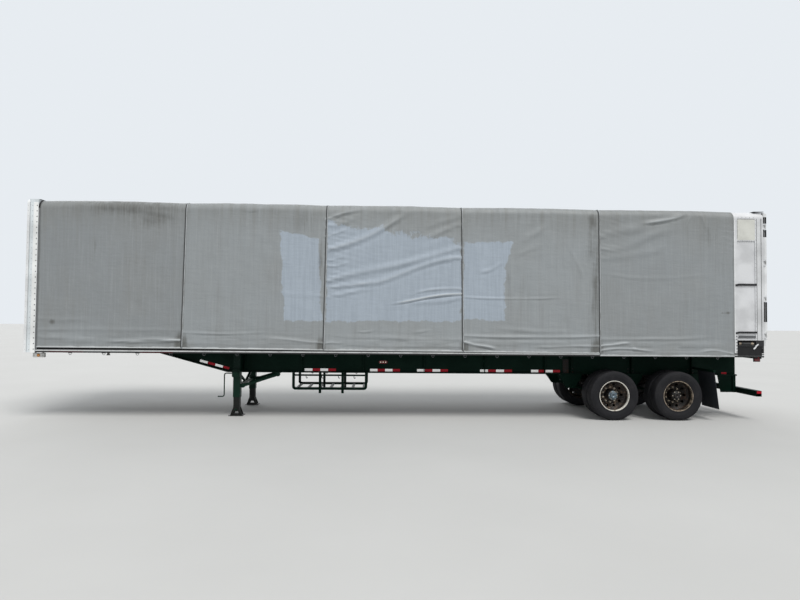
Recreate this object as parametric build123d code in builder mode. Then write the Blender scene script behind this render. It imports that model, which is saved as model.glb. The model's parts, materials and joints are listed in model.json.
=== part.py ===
from build123d import *
import os
from math import asin, degrees

os.makedirs("parts", exist_ok=True)

# A flatbed semi trailer with a sliding tarp cover, in millimetres.
# X runs rearwards from the middle of its length, Y to its right and Z up from the ground.

# Lengths along the deck
bulkhead_depth = 200.0
deck_length = 13716.0
door_gap = 5.0
door_thickness = 35.0
lock_gear_depth = 44.0
overall_length = bulkhead_depth + deck_length + door_gap + door_thickness + lock_gear_depth

front_x = -overall_length / 2
deck_front_x = front_x + bulkhead_depth
deck_rear_x = deck_front_x + deck_length
door_front_x = deck_rear_x + door_gap
door_rear_x = door_front_x + door_thickness

# Heights of the deck, measured up from the ground
beam_bottom_z = 815.0
beam_height = 480.0
cross_member_height = 100.0
floor_thickness = 35.0
rail_height = 208.0
beam_top_z = beam_bottom_z + beam_height
floor_bottom_z = beam_top_z + cross_member_height
deck_top_z = floor_bottom_z + floor_thickness
rail_bottom_z = deck_top_z - rail_height

# Widths, measured in from the trailer's sides
overall_width = 2590.0
cover_setback = 5.0
hem_clearance = 7.0
track_width = 70.0
rail_web = 8.0
rail_lip = 50.0
half_width = overall_width / 2
cover_outer_y = half_width - cover_setback
track_outer_y = cover_outer_y - hem_clearance
rail_outer_y = track_outer_y - track_width
rail_inner_y = rail_outer_y - rail_web

# Main beams
beam_y = 495.0
web_thickness = 10.0
flange_width = 150.0
flange_thickness = 16.0
nose_depth = 105.0
nose_length = 1960.0
taper_length = 1370.0
nose_bottom_z = beam_top_z - nose_depth
taper_start_x = deck_front_x + nose_length
taper_end_x = taper_start_x + taper_length
stiffener_thickness = 10.0
stiffener_offset = 20.0

# Cross members
cross_member_pitch = 304.8
cross_member_flange = 50.0
cross_member_web = 6.0

# Rear sill across the end of the deck
sill_depth = 100.0
sill_wall = 6.0
sill_bottom_z = 1190.0
beam_rear_x = deck_rear_x - sill_depth

# Coupler
coupler_setback = 60.0
coupler_length = 1500.0
coupler_thickness = 12.0
kingpin_setback = 762.0
kingpin_radius = 25.4
kingpin_shoulder_radius = 36.5
kingpin_shoulder_length = 35.7
kingpin_neck_length = 28.0
kingpin_collar_radius = 35.7
kingpin_collar_length = 19.0
kingpin_flange_radius = 75.0
kingpin_flange_thickness = 12.0
coupler_bottom_z = nose_bottom_z - coupler_thickness
kingpin_x = deck_front_x + kingpin_setback

# Landing gear, standing on the ground
leg_from_kingpin = 2803.0
leg_from_beam = 235.0
leg_width = 135.0
leg_wall = 8.0
leg_bottom_z = 355.0
leg_head_gap = 115.0
foot_head_gap = 200.0
shoe_length = 280.0
shoe_width = 250.0
shoe_height = 167.0
shoe_plate = 12.0
leg_x = kingpin_x + leg_from_kingpin
leg_y = beam_y + leg_from_beam
leg_top_z = beam_top_z - leg_head_gap
leg_inner_y = leg_y - leg_width / 2
leg_outer_y = leg_y + leg_width / 2

# Running gear
tyre_radius = 467.5
tyre_width = 250.0
bead_radius = 286.0
rim_width = 210.0
rim_wall = 8.0
flange_rise = 12.0
tyre_setback = 41.0
dual_spacing = 290.0
axle_spacing = 1244.6
rear_overhang = 1656.0
axle_radius = 63.5
spindle_radius = 40.0
axle_z = tyre_radius
dual_y = half_width - tyre_setback - (tyre_width + dual_spacing) / 2
rear_axle_x = deck_rear_x - rear_overhang
front_axle_x = rear_axle_x - axle_spacing
axles = (("front", front_axle_x), ("rear", rear_axle_x))
hanger_xs = (
    front_axle_x - axle_spacing / 2,
    (front_axle_x + rear_axle_x) / 2,
    rear_axle_x + axle_spacing / 2,
)
sides = (("left", -1), ("right", 1))
bearing_clearance = 0.5
soft_gap = 0.3
foot_tube_width = leg_width - 2 * leg_wall - 2 * soft_gap

# Tarp track and rolling bows
track_plate = 6.0
track_lip_height = 65.0
track_head_gap = 2.0
shelf_rise = 150.0
shelf_thickness = 8.0
shelf_setback = 15.0
shelf_lip_height = 18.0
shelf_z = rail_bottom_z + shelf_rise
shelf_outer_y = track_outer_y - shelf_setback
track_top_z = deck_top_z - track_head_gap
roller_radius = 28.0
roller_width = 30.0
roller_inset = 28.0
roller_pitch = 220.0
rolling_clearance = 0.5
pin_radius = 8.0
roller_y = rail_outer_y + roller_inset
roller_z = shelf_z + shelf_thickness + roller_radius + rolling_clearance
carriage_plate = 7.0
carriage_plate_gap = 5.0
carriage_rise = 30.0
carriage_depth = 18.0
carriage_overhang = 60.0
carriage_plate_y = shelf_outer_y + carriage_plate_gap
carriage_top_z = track_top_z + carriage_rise

# Cover, measured down from the top of the bulkhead
bulkhead_top_z = 4050.0
roof_setback = 10.0
cover_thickness = 6.0
cover_corner = 150.0
hem_height = 70.0
bow_depth = 40.0
bow_width = 50.0
bay_count = 5
roof_z = bulkhead_top_z - roof_setback
cover_hem_z = rail_bottom_z + hem_height
bow_outer_y = cover_outer_y - cover_thickness - soft_gap
bow_top_z = roof_z - cover_thickness - soft_gap
bow_corner = cover_corner - cover_thickness - soft_gap

# Rear frame
rear_frame_depth = 581.0
frame_post_width = 60.0
frame_rear_post_width = 160.0
frame_skin = 4.0
cover_end_gap = 3.0
frame_front_x = deck_rear_x - rear_frame_depth
panel_front_x = frame_front_x + frame_post_width
rear_post_x = deck_rear_x - frame_rear_post_width

# Front bulkhead
bulkhead_skin_thickness = 5.0
bulkhead_corner = 80.0
bulkhead_flange = 60.0
bulkhead_post_width = 80.0
bulkhead_post_depth = 60.0

# Rear doors
door_half_gap = 4.0
door_edge_gap = 22.0
door_foot_gap = 20.0
door_head_gap = 20.0
knuckle_radius = 10.0
knuckle_half = 30.0
knuckle_gap = 1.0
door_pin_radius = 5.0
pin_setback = 14.0
bracket_half = 55.0
strap_length = 280.0
strap_thickness = 8.0
hinge_count = 4
hinge_foot_inset = 200.0
hinge_head_inset = 270.0
door_outer_y = cover_outer_y - door_edge_gap
door_bottom_z = deck_top_z + door_foot_gap
door_top_z = roof_z - door_head_gap
pin_axis_x = door_rear_x + pin_setback
pin_axis_y = cover_outer_y - knuckle_radius
hinge_foot_z = door_bottom_z + hinge_foot_inset
hinge_pitch = (door_top_z - hinge_head_inset - hinge_foot_z) / (hinge_count - 1)
hinge_heights = [hinge_foot_z + row * hinge_pitch for row in range(hinge_count)]


def side_plane(y):
    """The upright plane at y that faces the trailer's left side: its x runs rearwards, its y up."""
    return Plane.XZ.offset(-y)


def axle_plane(x):
    """The upright plane across the trailer through an axle: its x runs along the axle, its y up."""
    return Plane(origin=(x, 0, axle_z), x_dir=(0, 1, 0), z_dir=(1, 0, 0))


def block(x, y, z, mode=Mode.ADD):
    """A square block that spans the (low, high) pairs x, y and z."""
    with Locations(((x[0] + x[1]) / 2, (y[0] + y[1]) / 2, (z[0] + z[1]) / 2)):
        Box(x[1] - x[0], y[1] - y[0], z[1] - z[0], mode=mode)


def arch_face(x, half_width, top_z, bottom_z, corner):
    """The cross-section of the cover at x: straight sides, a flat roof and round upper corners."""
    with BuildSketch(Plane.YZ.offset(x)) as face:
        with BuildLine():
            sides_and_roof = FilletPolyline(
                (-half_width, bottom_z),
                (-half_width, top_z),
                (half_width, top_z),
                (half_width, bottom_z),
                radius=corner,
            )
            Line(sides_and_roof @ 1, sides_and_roof @ 0)
        make_face()
    return face.sketch


def hoop(x, length, half_width, top_z, bottom_z, corner, depth):
    """A hoop over the deck from x rearwards, depth thick, as a solid."""
    with BuildPart() as piece:
        extrude(arch_face(x, half_width, top_z, bottom_z, corner), amount=length)
        inner = arch_face(x, half_width - depth, top_z - depth, bottom_z, max(corner - depth, 1.0))
        extrude(inner, amount=length, mode=Mode.SUBTRACT)
    return piece.part


def carriage(x_low, x_high, roller_xs):
    """The rolling foot on the right: a top block, an outer plate and the rollers on their pins."""
    with BuildPart() as piece:
        block(
            (x_low, x_high),
            (bow_outer_y - bow_depth, bow_outer_y),
            (carriage_top_z - carriage_depth, carriage_top_z),
        )
        block(
            (x_low, x_high),
            (carriage_plate_y, carriage_plate_y + carriage_plate),
            (roller_z - 2 * pin_radius, carriage_top_z - carriage_depth / 2),
        )
        for x in roller_xs:
            with BuildSketch(side_plane(roller_y - roller_width / 2)):
                with Locations((x, roller_z)):
                    Circle(roller_radius)
            extrude(amount=-roller_width)
            with BuildSketch(side_plane(roller_y)):
                with Locations((x, roller_z)):
                    Circle(pin_radius)
            extrude(amount=-(carriage_plate_y + carriage_plate / 2 - roller_y))
    return piece.part


def save(part, label):
    """Name the finished piece and write it."""
    part.label = label
    export_step(part, f"parts/{label}.step")


# Main beams: an I-section whose lower edge steps up to a shallow nose over the coupler
web_rib_pitch = 1219.2
web_rib_count = int((hanger_xs[0] - leg_x) / web_rib_pitch)
lower_edge = (
    (deck_front_x, nose_bottom_z),
    (taper_start_x, nose_bottom_z),
    (taper_end_x, beam_bottom_z),
    (beam_rear_x, beam_bottom_z),
)
flange_edge = [(x, z + flange_thickness) for x, z in reversed(lower_edge)]
leg_reach = leg_width / 2 + stiffener_offset
web_ribs = [leg_x + (number + 1) * web_rib_pitch for number in range(web_rib_count)]
with BuildPart() as main_beams:
    with BuildSketch(side_plane(beam_y)):
        with BuildLine():
            Polyline(*lower_edge, (beam_rear_x, beam_top_z), (deck_front_x, beam_top_z), close=True)
        make_face()
    extrude(amount=web_thickness / 2, both=True)
    with BuildSketch(side_plane(beam_y)):
        with BuildLine():
            Polyline(*lower_edge, *flange_edge, close=True)
        make_face()
    extrude(amount=flange_width / 2, both=True)
    block(
        (deck_front_x, beam_rear_x),
        (beam_y - flange_width / 2, beam_y + flange_width / 2),
        (beam_top_z - flange_thickness, beam_top_z),
    )
    for x in (leg_x - leg_reach, leg_x + leg_reach, *web_ribs, *hanger_xs):
        block(
            (x - stiffener_thickness / 2, x + stiffener_thickness / 2),
            (beam_y - flange_width / 2, beam_y + flange_width / 2),
            (beam_bottom_z, beam_top_z),
        )
    mirror(about=Plane.XZ)
save(main_beams.part, "main_beams")

# Cross members: channels open to the rear, side by side on the beams' top flanges
cross_member_run = beam_rear_x - deck_front_x - 2 * cross_member_flange
cross_member_count = int(cross_member_run / cross_member_pitch) + 1
with BuildPart() as cross_members:
    with BuildSketch(Plane.XZ):
        with Locations(((deck_front_x + beam_rear_x) / 2, (beam_top_z + floor_bottom_z) / 2)):
            with GridLocations(cross_member_pitch, 1, cross_member_count, 1):
                Rectangle(cross_member_flange, cross_member_height)
            with Locations((cross_member_web, 0)):
                with GridLocations(cross_member_pitch, 1, cross_member_count, 1):
                    Rectangle(
                        cross_member_flange,
                        cross_member_height - 2 * cross_member_web,
                        mode=Mode.SUBTRACT,
                    )
    extrude(amount=rail_inner_y, both=True)
save(cross_members.part, "cross_members")

# Deck floor: full-width planking with a groove along each joint
groove_count = 9
groove_width = 8.0
groove_depth = 5.0
with BuildPart() as deck_floor:
    with BuildSketch(Plane.YZ.offset(deck_front_x)):
        with Locations((0, (floor_bottom_z + deck_top_z) / 2)):
            Rectangle(2 * rail_inner_y, floor_thickness)
        with Locations((0, deck_top_z - groove_depth / 2)):
            with GridLocations(2 * rail_inner_y / (groove_count + 1), 1, groove_count, 1):
                Rectangle(groove_width, groove_depth, mode=Mode.SUBTRACT)
    extrude(amount=deck_length)
save(deck_floor.part, "deck_floor")

# Side rails: a channel that closes the ends of the floor and the cross members
with BuildPart() as side_rails:
    with BuildSketch(Plane.YZ.offset(deck_front_x)):
        with BuildLine():
            Polyline(
                (rail_outer_y, deck_top_z),
                (rail_outer_y, rail_bottom_z),
                (rail_outer_y - rail_lip, rail_bottom_z),
                (rail_outer_y - rail_lip, rail_bottom_z + rail_web),
                (rail_inner_y, rail_bottom_z + rail_web),
                (rail_inner_y, deck_top_z),
                close=True,
            )
        make_face()
    extrude(amount=deck_length)
    block(
        (beam_rear_x, deck_rear_x),
        (rail_outer_y - rail_lip, rail_inner_y),
        (rail_bottom_z, rail_bottom_z + rail_web),
        mode=Mode.SUBTRACT,
    )
    mirror(about=Plane.XZ)
save(side_rails.part, "side_rails")

# Tarp tracks: a back plate, a shelf with a stop lip for the rollers and a trough under the hem
with BuildPart() as tarp_tracks:
    with BuildSketch(Plane.YZ.offset(deck_front_x)):
        with BuildLine():
            Polyline(
                (rail_outer_y, track_top_z),
                (rail_outer_y, rail_bottom_z),
                (track_outer_y, rail_bottom_z),
                (track_outer_y, rail_bottom_z + track_lip_height),
                (track_outer_y - track_plate, rail_bottom_z + track_lip_height),
                (track_outer_y - track_plate, rail_bottom_z + track_plate),
                (rail_outer_y + track_plate, rail_bottom_z + track_plate),
                (rail_outer_y + track_plate, shelf_z),
                (shelf_outer_y, shelf_z),
                (shelf_outer_y, shelf_z + shelf_lip_height),
                (shelf_outer_y - track_plate, shelf_z + shelf_lip_height),
                (shelf_outer_y - track_plate, shelf_z + shelf_thickness),
                (rail_outer_y + track_plate, shelf_z + shelf_thickness),
                (rail_outer_y + track_plate, track_top_z),
                close=True,
            )
        make_face()
    extrude(amount=deck_length)
    mirror(about=Plane.XZ)
save(tarp_tracks.part, "tarp_tracks")

# Rear sill: a box section across the end of the beams, under the floor
with BuildPart() as rear_sill:
    with BuildSketch(Plane.XZ):
        with Locations(((beam_rear_x + deck_rear_x) / 2, (sill_bottom_z + floor_bottom_z) / 2)):
            Rectangle(sill_depth, floor_bottom_z - sill_bottom_z)
            Rectangle(
                sill_depth - 2 * sill_wall,
                floor_bottom_z - sill_bottom_z - 2 * sill_wall,
                mode=Mode.SUBTRACT,
            )
    extrude(amount=rail_inner_y, both=True)
save(rear_sill.part, "rear_sill")

# Coupler plate: a flat plate under the nose with a ramp at its front edge and a hole for the kingpin
ramp_length = 90.0
ramp_rise = 40.0
coupler_front_x = deck_front_x + coupler_setback
with BuildPart() as coupler_plate:
    with BuildSketch(Plane.XZ):
        with BuildLine():
            Polyline(
                (coupler_front_x, nose_bottom_z + ramp_rise),
                (coupler_front_x + ramp_length, nose_bottom_z),
                (coupler_front_x + coupler_length, nose_bottom_z),
                (coupler_front_x + coupler_length, coupler_bottom_z),
                (coupler_front_x + ramp_length, coupler_bottom_z),
                (coupler_front_x, nose_bottom_z + ramp_rise - coupler_thickness),
                close=True,
            )
        make_face()
    extrude(amount=beam_y - flange_width / 2, both=True)
    block(
        (coupler_front_x + ramp_length, coupler_front_x + coupler_length),
        (-beam_y - flange_width / 2, beam_y + flange_width / 2),
        (coupler_bottom_z, nose_bottom_z),
    )
    with BuildSketch(Plane.XY.offset(coupler_bottom_z)):
        with Locations((kingpin_x, 0)):
            Circle(kingpin_shoulder_radius + soft_gap)
    extrude(amount=coupler_thickness, mode=Mode.SUBTRACT)
save(coupler_plate.part, "coupler_plate")

# Kingpin: a flange on the coupler plate, a shoulder, the neck that the jaws close on and a collar
neck_top_z = coupler_bottom_z - kingpin_shoulder_length
collar_top_z = neck_top_z - kingpin_neck_length
collar_bottom_z = collar_top_z - kingpin_collar_length
with BuildPart() as kingpin:
    with BuildSketch(Plane.XZ):
        with BuildLine():
            Polyline(
                (kingpin_x, nose_bottom_z + kingpin_flange_thickness),
                (kingpin_x + kingpin_flange_radius, nose_bottom_z + kingpin_flange_thickness),
                (kingpin_x + kingpin_flange_radius, nose_bottom_z),
                (kingpin_x + kingpin_shoulder_radius, nose_bottom_z),
                (kingpin_x + kingpin_shoulder_radius, neck_top_z),
                (kingpin_x + kingpin_radius, neck_top_z),
                (kingpin_x + kingpin_radius, collar_top_z),
                (kingpin_x + kingpin_collar_radius, collar_top_z),
                (kingpin_x + kingpin_collar_radius, collar_bottom_z),
                (kingpin_x, collar_bottom_z),
                close=True,
            )
        make_face()
    revolve(axis=Axis((kingpin_x, 0, 0), (0, 0, 1)))
save(kingpin.part, "kingpin")

# Front bulkhead skin: a wrapped sheet with round upright corners, a cap and a rear flange
bulkhead_y = overall_width / 2
with BuildPart() as bulkhead_skin:
    with BuildSketch(Plane.XY.offset(rail_bottom_z)) as plan:
        with Locations(((front_x + deck_front_x) / 2, 0)):
            Rectangle(bulkhead_depth, overall_width)
        fillet(plan.vertices().group_by(Axis.X)[0], bulkhead_corner)
    extrude(amount=bulkhead_top_z - rail_bottom_z)
    with BuildSketch(Plane.XY.offset(rail_bottom_z)) as hollow:
        with Locations(((front_x + deck_front_x + bulkhead_skin_thickness) / 2, 0)):
            Rectangle(
                bulkhead_depth - bulkhead_skin_thickness,
                overall_width - 2 * bulkhead_skin_thickness,
            )
        fillet(hollow.vertices().group_by(Axis.X)[0], bulkhead_corner - bulkhead_skin_thickness)
    extrude(
        amount=bulkhead_top_z - rail_bottom_z - bulkhead_skin_thickness,
        mode=Mode.SUBTRACT,
    )
    with BuildSketch(Plane.YZ.offset(deck_front_x)):
        with Locations((0, (deck_top_z + bulkhead_top_z) / 2)):
            Rectangle(overall_width, bulkhead_top_z - deck_top_z)
        with Locations((0, (deck_top_z + bulkhead_top_z) / 2)):
            Rectangle(
                overall_width - 2 * bulkhead_flange,
                bulkhead_top_z - deck_top_z - 2 * bulkhead_flange,
                mode=Mode.SUBTRACT,
            )
    extrude(amount=-bulkhead_skin_thickness)
save(bulkhead_skin.part, "bulkhead_skin")

# Bulkhead frame: hollow posts behind the sheet, standing on the front sill of the deck
bulkhead_posts = 5
post_wall = 5.0
bulkhead_inner_y = bulkhead_y - bulkhead_skin_thickness
sheet_inner_x = front_x + bulkhead_skin_thickness
with BuildPart() as bulkhead_frame:
    with BuildSketch(Plane.XY.offset(deck_top_z)):
        with Locations((sheet_inner_x + bulkhead_post_depth / 2, 0)):
            with GridLocations(1, overall_width / bulkhead_posts, 1, bulkhead_posts):
                Rectangle(bulkhead_post_depth, bulkhead_post_width)
                Rectangle(
                    bulkhead_post_depth - 2 * post_wall,
                    bulkhead_post_width - 2 * post_wall,
                    mode=Mode.SUBTRACT,
                )
    extrude(amount=bulkhead_top_z - bulkhead_skin_thickness - deck_top_z)
    with BuildSketch(Plane.XZ):
        with BuildLine():
            Polyline(
                (sheet_inner_x, deck_top_z),
                (deck_front_x, deck_top_z),
                (deck_front_x, rail_bottom_z),
                (deck_front_x - rail_web, rail_bottom_z),
                (deck_front_x - rail_web, deck_top_z - rail_web),
                (sheet_inner_x, deck_top_z - rail_web),
                close=True,
            )
        make_face()
    extrude(amount=bulkhead_inner_y - bulkhead_corner, both=True)
save(bulkhead_frame.part, "bulkhead_frame")

# Landing leg tubes: two square tubes, each on a bracket that reaches out from the beam
with BuildPart() as landing_leg_tubes:
    with BuildSketch(Plane.XY.offset(leg_bottom_z)):
        with Locations((leg_x, leg_y)):
            Rectangle(leg_width, leg_width)
            Rectangle(leg_width - 2 * leg_wall, leg_width - 2 * leg_wall, mode=Mode.SUBTRACT)
    extrude(amount=leg_top_z - leg_bottom_z)
    with BuildSketch(Plane.XY.offset(beam_bottom_z + flange_thickness)):
        with Locations((leg_x, (beam_y + web_thickness / 2 + leg_y - leg_width / 2) / 2)):
            Rectangle(leg_width, leg_y - leg_width / 2 - beam_y - web_thickness / 2)
            Rectangle(
                leg_width - 2 * leg_wall,
                leg_y - leg_width / 2 - beam_y - web_thickness / 2,
                mode=Mode.SUBTRACT,
            )
    extrude(amount=leg_top_z - beam_bottom_z - flange_thickness)
    mirror(about=Plane.XZ)
save(landing_leg_tubes.part, "landing_leg_tubes")

# Landing leg feet: each inner tube hangs on a pin between the two ears of its sand shoe
ear_thickness = 12.0
ear_gap = 3.0
ear_foot_width = 240.0
ear_head_width = 110.0
ear_window_foot = 120.0
ear_window_head = 70.0
ear_window_rise = 16.0
ankle_z = 125.0
ankle_pin_radius = 18.0
foot_bottom_z = 85.0
foot_top_z = leg_top_z - foot_head_gap
ear_inner = foot_tube_width / 2 + ear_gap
window_bottom_z = shoe_plate + ear_window_rise
with BuildPart() as landing_leg_feet:
    with BuildSketch(Plane.XY):
        with Locations((leg_x, leg_y)):
            RectangleRounded(shoe_length, shoe_width, shoe_plate)
    extrude(amount=shoe_plate)
    for ear_y in (leg_y - ear_inner - ear_thickness, leg_y + ear_inner):
        with BuildSketch(side_plane(ear_y)):
            with BuildLine():
                Polyline(
                    (leg_x - ear_foot_width / 2, 0),
                    (leg_x + ear_foot_width / 2, 0),
                    (leg_x + ear_head_width / 2, shoe_height),
                    (leg_x - ear_head_width / 2, shoe_height),
                    close=True,
                )
            make_face()
            with BuildLine():
                Polyline(
                    (leg_x - ear_window_foot / 2, window_bottom_z),
                    (leg_x + ear_window_foot / 2, window_bottom_z),
                    (leg_x + ear_window_head / 2, foot_bottom_z),
                    (leg_x - ear_window_head / 2, foot_bottom_z),
                    close=True,
                )
            make_face(mode=Mode.SUBTRACT)
        extrude(amount=-ear_thickness)
    with BuildSketch(side_plane(leg_y)):
        with Locations((leg_x, ankle_z)):
            Circle(ankle_pin_radius)
    extrude(amount=ear_inner + 2 * ear_thickness, both=True)
    with BuildSketch(Plane.XY.offset(foot_bottom_z)):
        with Locations((leg_x, leg_y)):
            Rectangle(foot_tube_width, foot_tube_width)
    extrude(amount=foot_top_z - foot_bottom_z)
    mirror(about=Plane.XZ)
save(landing_leg_feet.part, "landing_leg_feet")

# Landing gear braces: a tie between the legs with its stays, and a strut from each leg back to its beam
tie_z = 574.0
tie_size = 50.0
strut_radius = 30.0
strut_eye_radius = 42.0
strut_eye_width = 56.0
strut_reach = 745.0
lug_height = 64.0
strut_foot = Vector(leg_x + leg_width / 2 + strut_eye_radius, leg_y, tie_z)
strut_head = Vector(leg_x + strut_reach, beam_y, beam_bottom_z - strut_eye_radius)
strut_run = strut_head - strut_foot
stay = Vector(0, leg_inner_y, beam_bottom_z - tie_z)
with BuildPart() as landing_gear_braces:
    with BuildSketch(Plane.XZ):
        with Locations((leg_x, tie_z)):
            Rectangle(tie_size, tie_size)
    extrude(amount=leg_inner_y, both=True)
    with BuildSketch(Plane(origin=(leg_x, 0, tie_z), x_dir=(1, 0, 0), z_dir=stay.normalized())):
        Rectangle(tie_size, tie_size / 2)
    extrude(amount=stay.length - tie_size)
    with BuildSketch(Plane(origin=strut_foot, x_dir=(0, 1, 0), z_dir=strut_run.normalized())):
        Circle(strut_radius)
    extrude(amount=strut_run.length)
    for eye in (strut_foot, strut_head):
        with BuildSketch(side_plane(eye.Y)):
            with Locations((eye.X, eye.Z)):
                Circle(strut_eye_radius)
        extrude(amount=strut_eye_width / 2, both=True)
    block(
        (leg_x + leg_width / 2, strut_foot.X),
        (leg_y - strut_eye_width / 2, leg_y + strut_eye_width / 2),
        (tie_z - lug_height / 2, tie_z + lug_height / 2),
    )
    block(
        (strut_head.X - lug_height / 2, strut_head.X + lug_height / 2),
        (beam_y - strut_eye_width / 2, beam_y + strut_eye_width / 2),
        (strut_head.Z, beam_bottom_z),
    )
    mirror(about=Plane.XZ)
save(landing_gear_braces.part, "landing_gear_braces")

# Landing gear crank: the gearbox on the left leg with its folded crank, and the shaft between the beams
shaft_z = 960.0
shaft_radius = 15.0
gearbox_size = 150.0
gearbox_depth = 80.0
gearbox_corner = 25.0
gearbox_boss_radius = 50.0
gearbox_boss_height = 18.0
crank_offset = 225.0
crank_top_z = 820.0
crank_drop = 445.0
crank_handle = 120.0
crank_radius = 11.0
crank_sink = 10.0
gearbox_y = -leg_outer_y - gearbox_depth
crank_y = -leg_outer_y - gearbox_depth / 2
with BuildPart() as landing_gear_crank:
    with BuildSketch(side_plane(-leg_outer_y)):
        with Locations((leg_x, crank_top_z)):
            RectangleRounded(gearbox_size, gearbox_size, gearbox_corner)
    extrude(amount=gearbox_depth)
    with BuildSketch(side_plane(gearbox_y)):
        with Locations((leg_x, crank_top_z)):
            Circle(gearbox_boss_radius)
    extrude(amount=gearbox_boss_height)
    with BuildLine() as crank_path:
        FilletPolyline(
            (leg_x - gearbox_size / 2 + crank_sink, crank_y, crank_top_z),
            (leg_x - crank_offset, crank_y, crank_top_z),
            (leg_x - crank_offset, crank_y, crank_top_z - crank_drop),
            (leg_x - crank_offset - crank_handle, crank_y, crank_top_z - crank_drop),
            radius=3 * crank_radius,
        )
    with BuildSketch(Plane(origin=crank_path.line @ 0, z_dir=crank_path.line % 0)):
        Circle(crank_radius)
    sweep()
    with BuildSketch(Plane.XZ):
        with Locations((leg_x, shaft_z)):
            Circle(shaft_radius)
    extrude(amount=beam_y - web_thickness / 2, both=True)
save(landing_gear_crank.part, "landing_gear_crank")

# Dunnage rack: two side frames hung under the beams, with slats across their bottom rails
rack_setback = 4593.0
rack_length = 1494.0
rack_bottom_z = 470.0
rack_rail = 50.0
rack_corner = 70.0
rack_mid_z = 760.0
rack_mid_height = 30.0
rack_post_drop = 66.0
rack_post_offsets = (552.0, 1001.0)
rack_slats = 7
rack_front_x = deck_front_x + rack_setback
rack_rear_x = rack_front_x + rack_length
rack_middle_x = (rack_front_x + rack_rear_x) / 2
rack_height = beam_bottom_z - rack_bottom_z
with BuildPart() as dunnage_rack:
    with BuildSketch(side_plane(beam_y)) as outer_frame:
        with Locations((rack_middle_x, (rack_bottom_z + beam_bottom_z) / 2)):
            Rectangle(rack_length, rack_height)
        fillet(outer_frame.vertices().group_by(Axis.Y)[0], rack_corner)
    extrude(amount=rack_rail / 2, both=True)
    with BuildSketch(side_plane(beam_y)) as inner_frame:
        with Locations((rack_middle_x, (rack_bottom_z + rack_rail + beam_bottom_z) / 2)):
            Rectangle(rack_length - 2 * rack_rail, rack_height - rack_rail)
        fillet(inner_frame.vertices().group_by(Axis.Y)[0], rack_corner - rack_rail)
    extrude(amount=rack_rail / 2, both=True, mode=Mode.SUBTRACT)
    with BuildSketch(side_plane(beam_y)):
        for offset in rack_post_offsets:
            post_x = rack_front_x + offset
            with Locations((post_x, (rack_bottom_z - rack_post_drop + beam_bottom_z) / 2)):
                Rectangle(rack_rail, rack_height + rack_post_drop)
        with Locations((rack_middle_x, rack_mid_z)):
            Rectangle(rack_length - 2 * rack_rail, rack_mid_height)
    extrude(amount=rack_rail / 2, both=True)
    mirror(about=Plane.XZ)
    with BuildSketch(Plane.XY.offset(rack_bottom_z)):
        with Locations((rack_middle_x, 0)):
            with GridLocations((rack_length - 3 * rack_rail) / (rack_slats - 1), 1, rack_slats, 1):
                Rectangle(rack_rail, 2 * beam_y)
    extrude(amount=rack_rail / 2)
save(dunnage_rack.part, "dunnage_rack")

# Suspension hangers: pairs of plates under the beams, with wear pads or the pivot of an equalizer
spring_width = 76.0
hanger_gap = 90.0
hanger_plate = 8.0
hanger_bottom_z = 535.0
hanger_top_length = 450.0
hanger_foot_length = 150.0
hanger_skirt = 60.0
pad_z = 690.0
pad_thickness = 12.0
pad_inset = 20.0
pivot_z = 735.0
pivot_pin_radius = 22.0
rod_pin_z = 580.0
rod_pin_radius = 15.0
with BuildPart() as suspension_hangers:
    for x in hanger_xs:
        with BuildSketch(side_plane(beam_y)):
            with BuildLine():
                Polyline(
                    (x - hanger_top_length / 2, beam_bottom_z),
                    (x + hanger_top_length / 2, beam_bottom_z),
                    (x + hanger_top_length / 2, beam_bottom_z - hanger_skirt),
                    (x + hanger_foot_length / 2, hanger_bottom_z),
                    (x - hanger_foot_length / 2, hanger_bottom_z),
                    (x - hanger_top_length / 2, beam_bottom_z - hanger_skirt),
                    close=True,
                )
            make_face()
        extrude(amount=hanger_gap / 2 + hanger_plate, both=True)
    for x in hanger_xs:
        block(
            (x - hanger_top_length / 2, x + hanger_top_length / 2),
            (beam_y - hanger_gap / 2, beam_y + hanger_gap / 2),
            (hanger_bottom_z, beam_bottom_z - hanger_plate),
            mode=Mode.SUBTRACT,
        )
    for x in (hanger_xs[0], hanger_xs[2]):
        block(
            (x - hanger_top_length / 2 + pad_inset, x + hanger_top_length / 2 - pad_inset),
            (beam_y - hanger_gap / 2, beam_y + hanger_gap / 2),
            (pad_z, pad_z + pad_thickness),
        )
    bores = (
        # x, z, radius
        (hanger_xs[0], rod_pin_z, rod_pin_radius),
        (hanger_xs[1], rod_pin_z, rod_pin_radius),
        (hanger_xs[1], pivot_z, pivot_pin_radius),
    )
    with BuildSketch(side_plane(beam_y)):
        for x, z, radius in bores:
            with Locations((x, z)):
                Circle(radius + soft_gap)
    extrude(amount=hanger_gap / 2 + hanger_plate, both=True, mode=Mode.SUBTRACT)
    mirror(about=Plane.XZ)
save(suspension_hangers.part, "suspension_hangers")

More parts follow.
